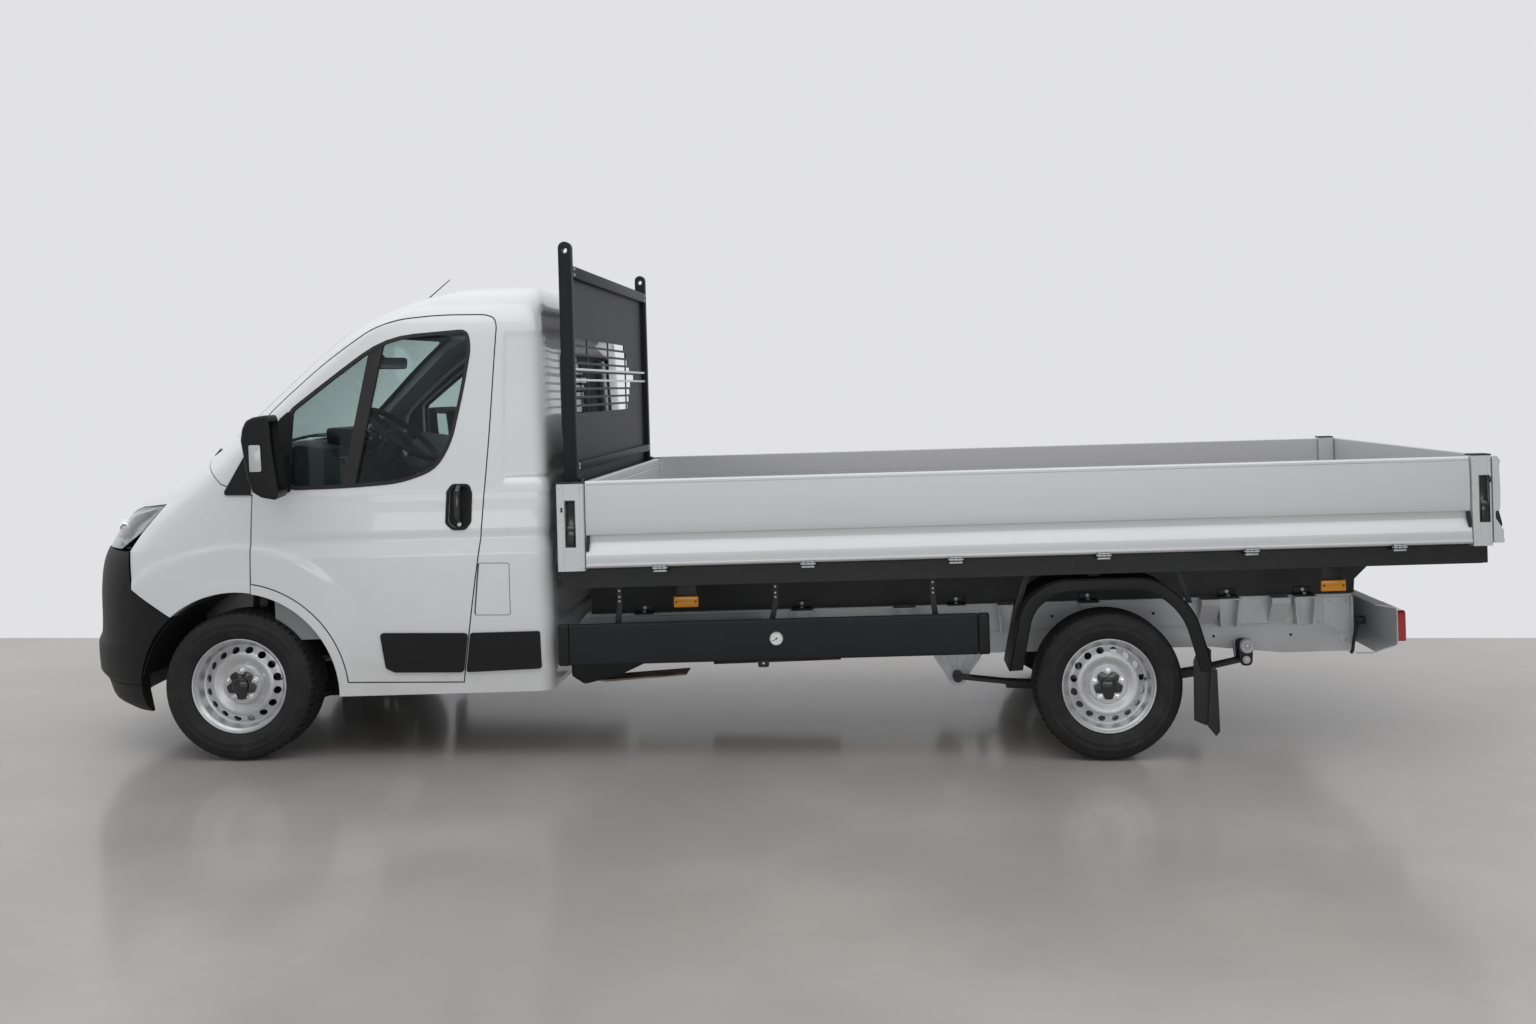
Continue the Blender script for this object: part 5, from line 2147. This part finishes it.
def build_linings():
    """Door trims, pillar and roof linings, and the floor mat."""
    trim = without(within(cab_wall(WALL + 0.001, WALL + 0.006), side_cut(grown(DOOR_OUTLINE, -0.045))),
                   side_cut(grown(DOOR_WINDOW, 0.006)))
    pull = block((0.62, -0.915, 1.04), (0.98, -0.872, 1.078), 0.01, 3)
    pocket = block((0.42, -0.925, 0.56), (0.96, -0.885, 0.7), 0.012, 3)
    both_sides("door_trim", merged(trim, pull, pocket), "interior_plastic", "door_{}", smooth=35.0)
    lining = within(cab_wall(WALL + 0.001, WALL + 0.005), block((0.02, -1.2, FLOOR + 0.004),
                                                                (1.6, 1.2, 2.3)))
    doorway = side_cut(grown(DOOR_OUTLINE, -0.01))
    lining = without(lining, doorway, copied(doorway, MIRROR),
                     plate(grown(WINDSCREEN, 0.004), "X", -1.0, 0.9),
                     plate(grown(REAR_WINDOW, 0.004), "X", 1.2, 1.7),
                     block((-1.0, -1.2, 0.0), (0.165, 1.2, 1.42)))
    piece("cab_lining", lining, "lining_cloth", smooth=50.0)
    mat = block((0.475, -0.865, FLOOR + 0.0004), (1.392, 0.865, FLOOR + 0.008), 0.003)
    piece("floor_mat", mat, "rubber_seal")


# Finishes of the solids that stay in view

KEPT = {
    "arch_liner_left": "black_plastic", "arch_liner_right": "black_plastic", "knuckle_left": "black_paint",
    "knuckle_right": "black_paint", "rear_axle": "black_paint", "front_subframe": "black_paint",
    "bed_subframe": "black_paint", "chassis_frame": "frame_grey", "engine_block": "cast_aluminium",
    "exhaust": "exhaust_steel", "tail_lamp_left": "red_lens", "tail_lamp_right": "red_lens",
}


def dress_solids():
    """Gives each solid its finished material."""
    for node, finish in KEPT.items():
        dress(node, finish)


# Add-on

def colour_property(name, description, default):
    return bpy.props.FloatVectorProperty(name=name, description=description, subtype="COLOR", size=3,
                                         min=0.0, max=1.0, default=default)


def share_property(name, description, default):
    return bpy.props.FloatProperty(name=name, description=description, default=default, min=0.0)


def size_property(name, description, default, largest):
    return bpy.props.FloatProperty(name=name, description=description, default=default, min=0.0,
                                   max=largest, precision=4, subtype="DISTANCE", unit="LENGTH")


class TruckSettings(bpy.types.PropertyGroup):
    """Sizes and colours that a user may change before building."""
    flare_height: size_property("Wheel flare", "How far the flare round the front wheel stands out", 0.008,
                                0.01)
    panel_depth: size_property("Corner panel", "Depth of the pressed panel behind the door", 0.009, 0.015)
    groove_depth: size_property("Tread grooves", "Depth of the grooves round the tyres", 0.0078, 0.01)
    block_depth: size_property("Shoulder blocks", "Depth of the cross grooves on the tyres' shoulders",
                               0.0055, 0.008)
    cab_colour: colour_property("Cab", "Paint of the cab", (0.8, 0.815, 0.835))
    board_colour: colour_property("Boards", "Anodised side boards", (0.72, 0.735, 0.76))
    floor_colour: colour_property("Floor", "Studio floor", (0.37, 0.352, 0.33))
    wall_colour: colour_property("Backdrop", "Studio backdrop", (0.76, 0.76, 0.785))
    wall_light: share_property("Backdrop light", "Brightness of the backdrop", 1.0)
    front_share: share_property("Room in front", "Brightness behind the camera, as a share of the backdrop",
                                0.3)
    ceiling_light: share_property("Ceiling", "Brightness of the ceiling", 0.95)
    light_power: share_property("Lamp power", "Scales all the studio lamps", 1.0)


def settings():
    return bpy.context.scene.truck_settings


class TRUCK_OT_stage(bpy.types.Operator):
    """Make the floor, the lights and the camera"""
    bl_idname = "truck.stage"
    bl_label = "Stage"

    def execute(self, context):
        build_stage()
        return {"FINISHED"}


class TRUCK_OT_finishes(bpy.types.Operator):
    """Give the solids that stay in view their finishes"""
    bl_idname = "truck.finishes"
    bl_label = "Finishes"

    def execute(self, context):
        dress_solids()
        return {"FINISHED"}


class TRUCK_OT_wheels(bpy.types.Operator):
    """Make the tyres, steel wheels, nuts and caps"""
    bl_idname = "truck.wheels"
    bl_label = "Wheels"

    def execute(self, context):
        build_wheels()
        return {"FINISHED"}


class TRUCK_OT_cab(bpy.types.Operator):
    """Make the cab's painted panels and its glass"""
    bl_idname = "truck.cab"
    bl_label = "Cab panels"

    def execute(self, context):
        build_cab()
        return {"FINISHED"}


class TRUCK_OT_trim(bpy.types.Operator):
    """Make the seals, mouldings, mirrors and door handles"""
    bl_idname = "truck.trim"
    bl_label = "Trim and mirrors"

    def execute(self, context):
        build_trim()
        build_mirrors()
        build_roof_and_wipers()
        return {"FINISHED"}


class TRUCK_OT_nose(bpy.types.Operator):
    """Make the bumper, the grille and the headlamps"""
    bl_idname = "truck.nose"
    bl_label = "Bumper and headlamps"

    def execute(self, context):
        build_bumper()
        build_headlamps()
        return {"FINISHED"}


class TRUCK_OT_boards(bpy.types.Operator):
    """Make the side boards, the tailgate, the posts and their latches"""
    bl_idname = "truck.boards"
    bl_label = "Boards and posts"

    def execute(self, context):
        build_boards()
        build_posts()
        hinge_knuckles()
        return {"FINISHED"}


class TRUCK_OT_deck(bpy.types.Operator):
    """Make the deck and its lashing rings"""
    bl_idname = "truck.deck"
    bl_label = "Deck"

    def execute(self, context):
        build_deck()
        return {"FINISHED"}


class TRUCK_OT_headboard(bpy.types.Operator):
    """Make the headboard with its slotted sheet"""
    bl_idname = "truck.headboard"
    bl_label = "Headboard"

    def execute(self, context):
        build_headboard()
        return {"FINISHED"}


class TRUCK_OT_guards(bpy.types.Operator):
    """Make the side guards, the gauge and the rear mudguards"""
    bl_idname = "truck.guards"
    bl_label = "Guards"

    def execute(self, context):
        build_guards()
        build_mudguards()
        return {"FINISHED"}


class TRUCK_OT_frame_details(bpy.types.Operator):
    """Make the plates, clamps, springs, lamps and tank under the deck"""
    bl_idname = "truck.frame_details"
    bl_label = "Frame details"

    def execute(self, context):
        build_frame_details()
        build_springs()
        build_lamps_and_wires()
        build_tank_and_exhaust()
        return {"FINISHED"}


class TRUCK_OT_interior(bpy.types.Operator):
    """Make the seats, the dashboard, the steering wheel and the linings"""
    bl_idname = "truck.interior"
    bl_label = "Inside the cab"

    def execute(self, context):
        build_seats()
        build_steering_wheel()
        build_dashboard()
        build_linings()
        return {"FINISHED"}


STEPS = (TRUCK_OT_stage, TRUCK_OT_finishes, TRUCK_OT_wheels, TRUCK_OT_cab, TRUCK_OT_trim, TRUCK_OT_nose,
         TRUCK_OT_boards, TRUCK_OT_deck, TRUCK_OT_headboard, TRUCK_OT_guards, TRUCK_OT_frame_details,
         TRUCK_OT_interior)


class TRUCK_PT_panel(bpy.types.Panel):
    """Lists the building steps and their settings"""
    bl_idname = "TRUCK_PT_panel"
    bl_label = "Flatbed truck"
    bl_space_type = "VIEW_3D"
    bl_region_type = "UI"
    bl_category = "Truck"

    def draw(self, context):
        values = context.scene.truck_settings
        for key in TruckSettings.__annotations__:
            self.layout.prop(values, key)
        for step in STEPS:
            self.layout.operator(step.bl_idname)


CLASSES = (TruckSettings, *STEPS, TRUCK_PT_panel)


def register():
    for entry in CLASSES:
        bpy.utils.register_class(entry)
    bpy.types.Scene.truck_settings = bpy.props.PointerProperty(type=TruckSettings)


def unregister():
    del bpy.types.Scene.truck_settings
    for entry in reversed(CLASSES):
        bpy.utils.unregister_class(entry)


def main():
    register()
    for step in STEPS:
        getattr(bpy.ops.truck, step.bl_idname.split(".")[1])()


if __name__ == "__main__":
    main()
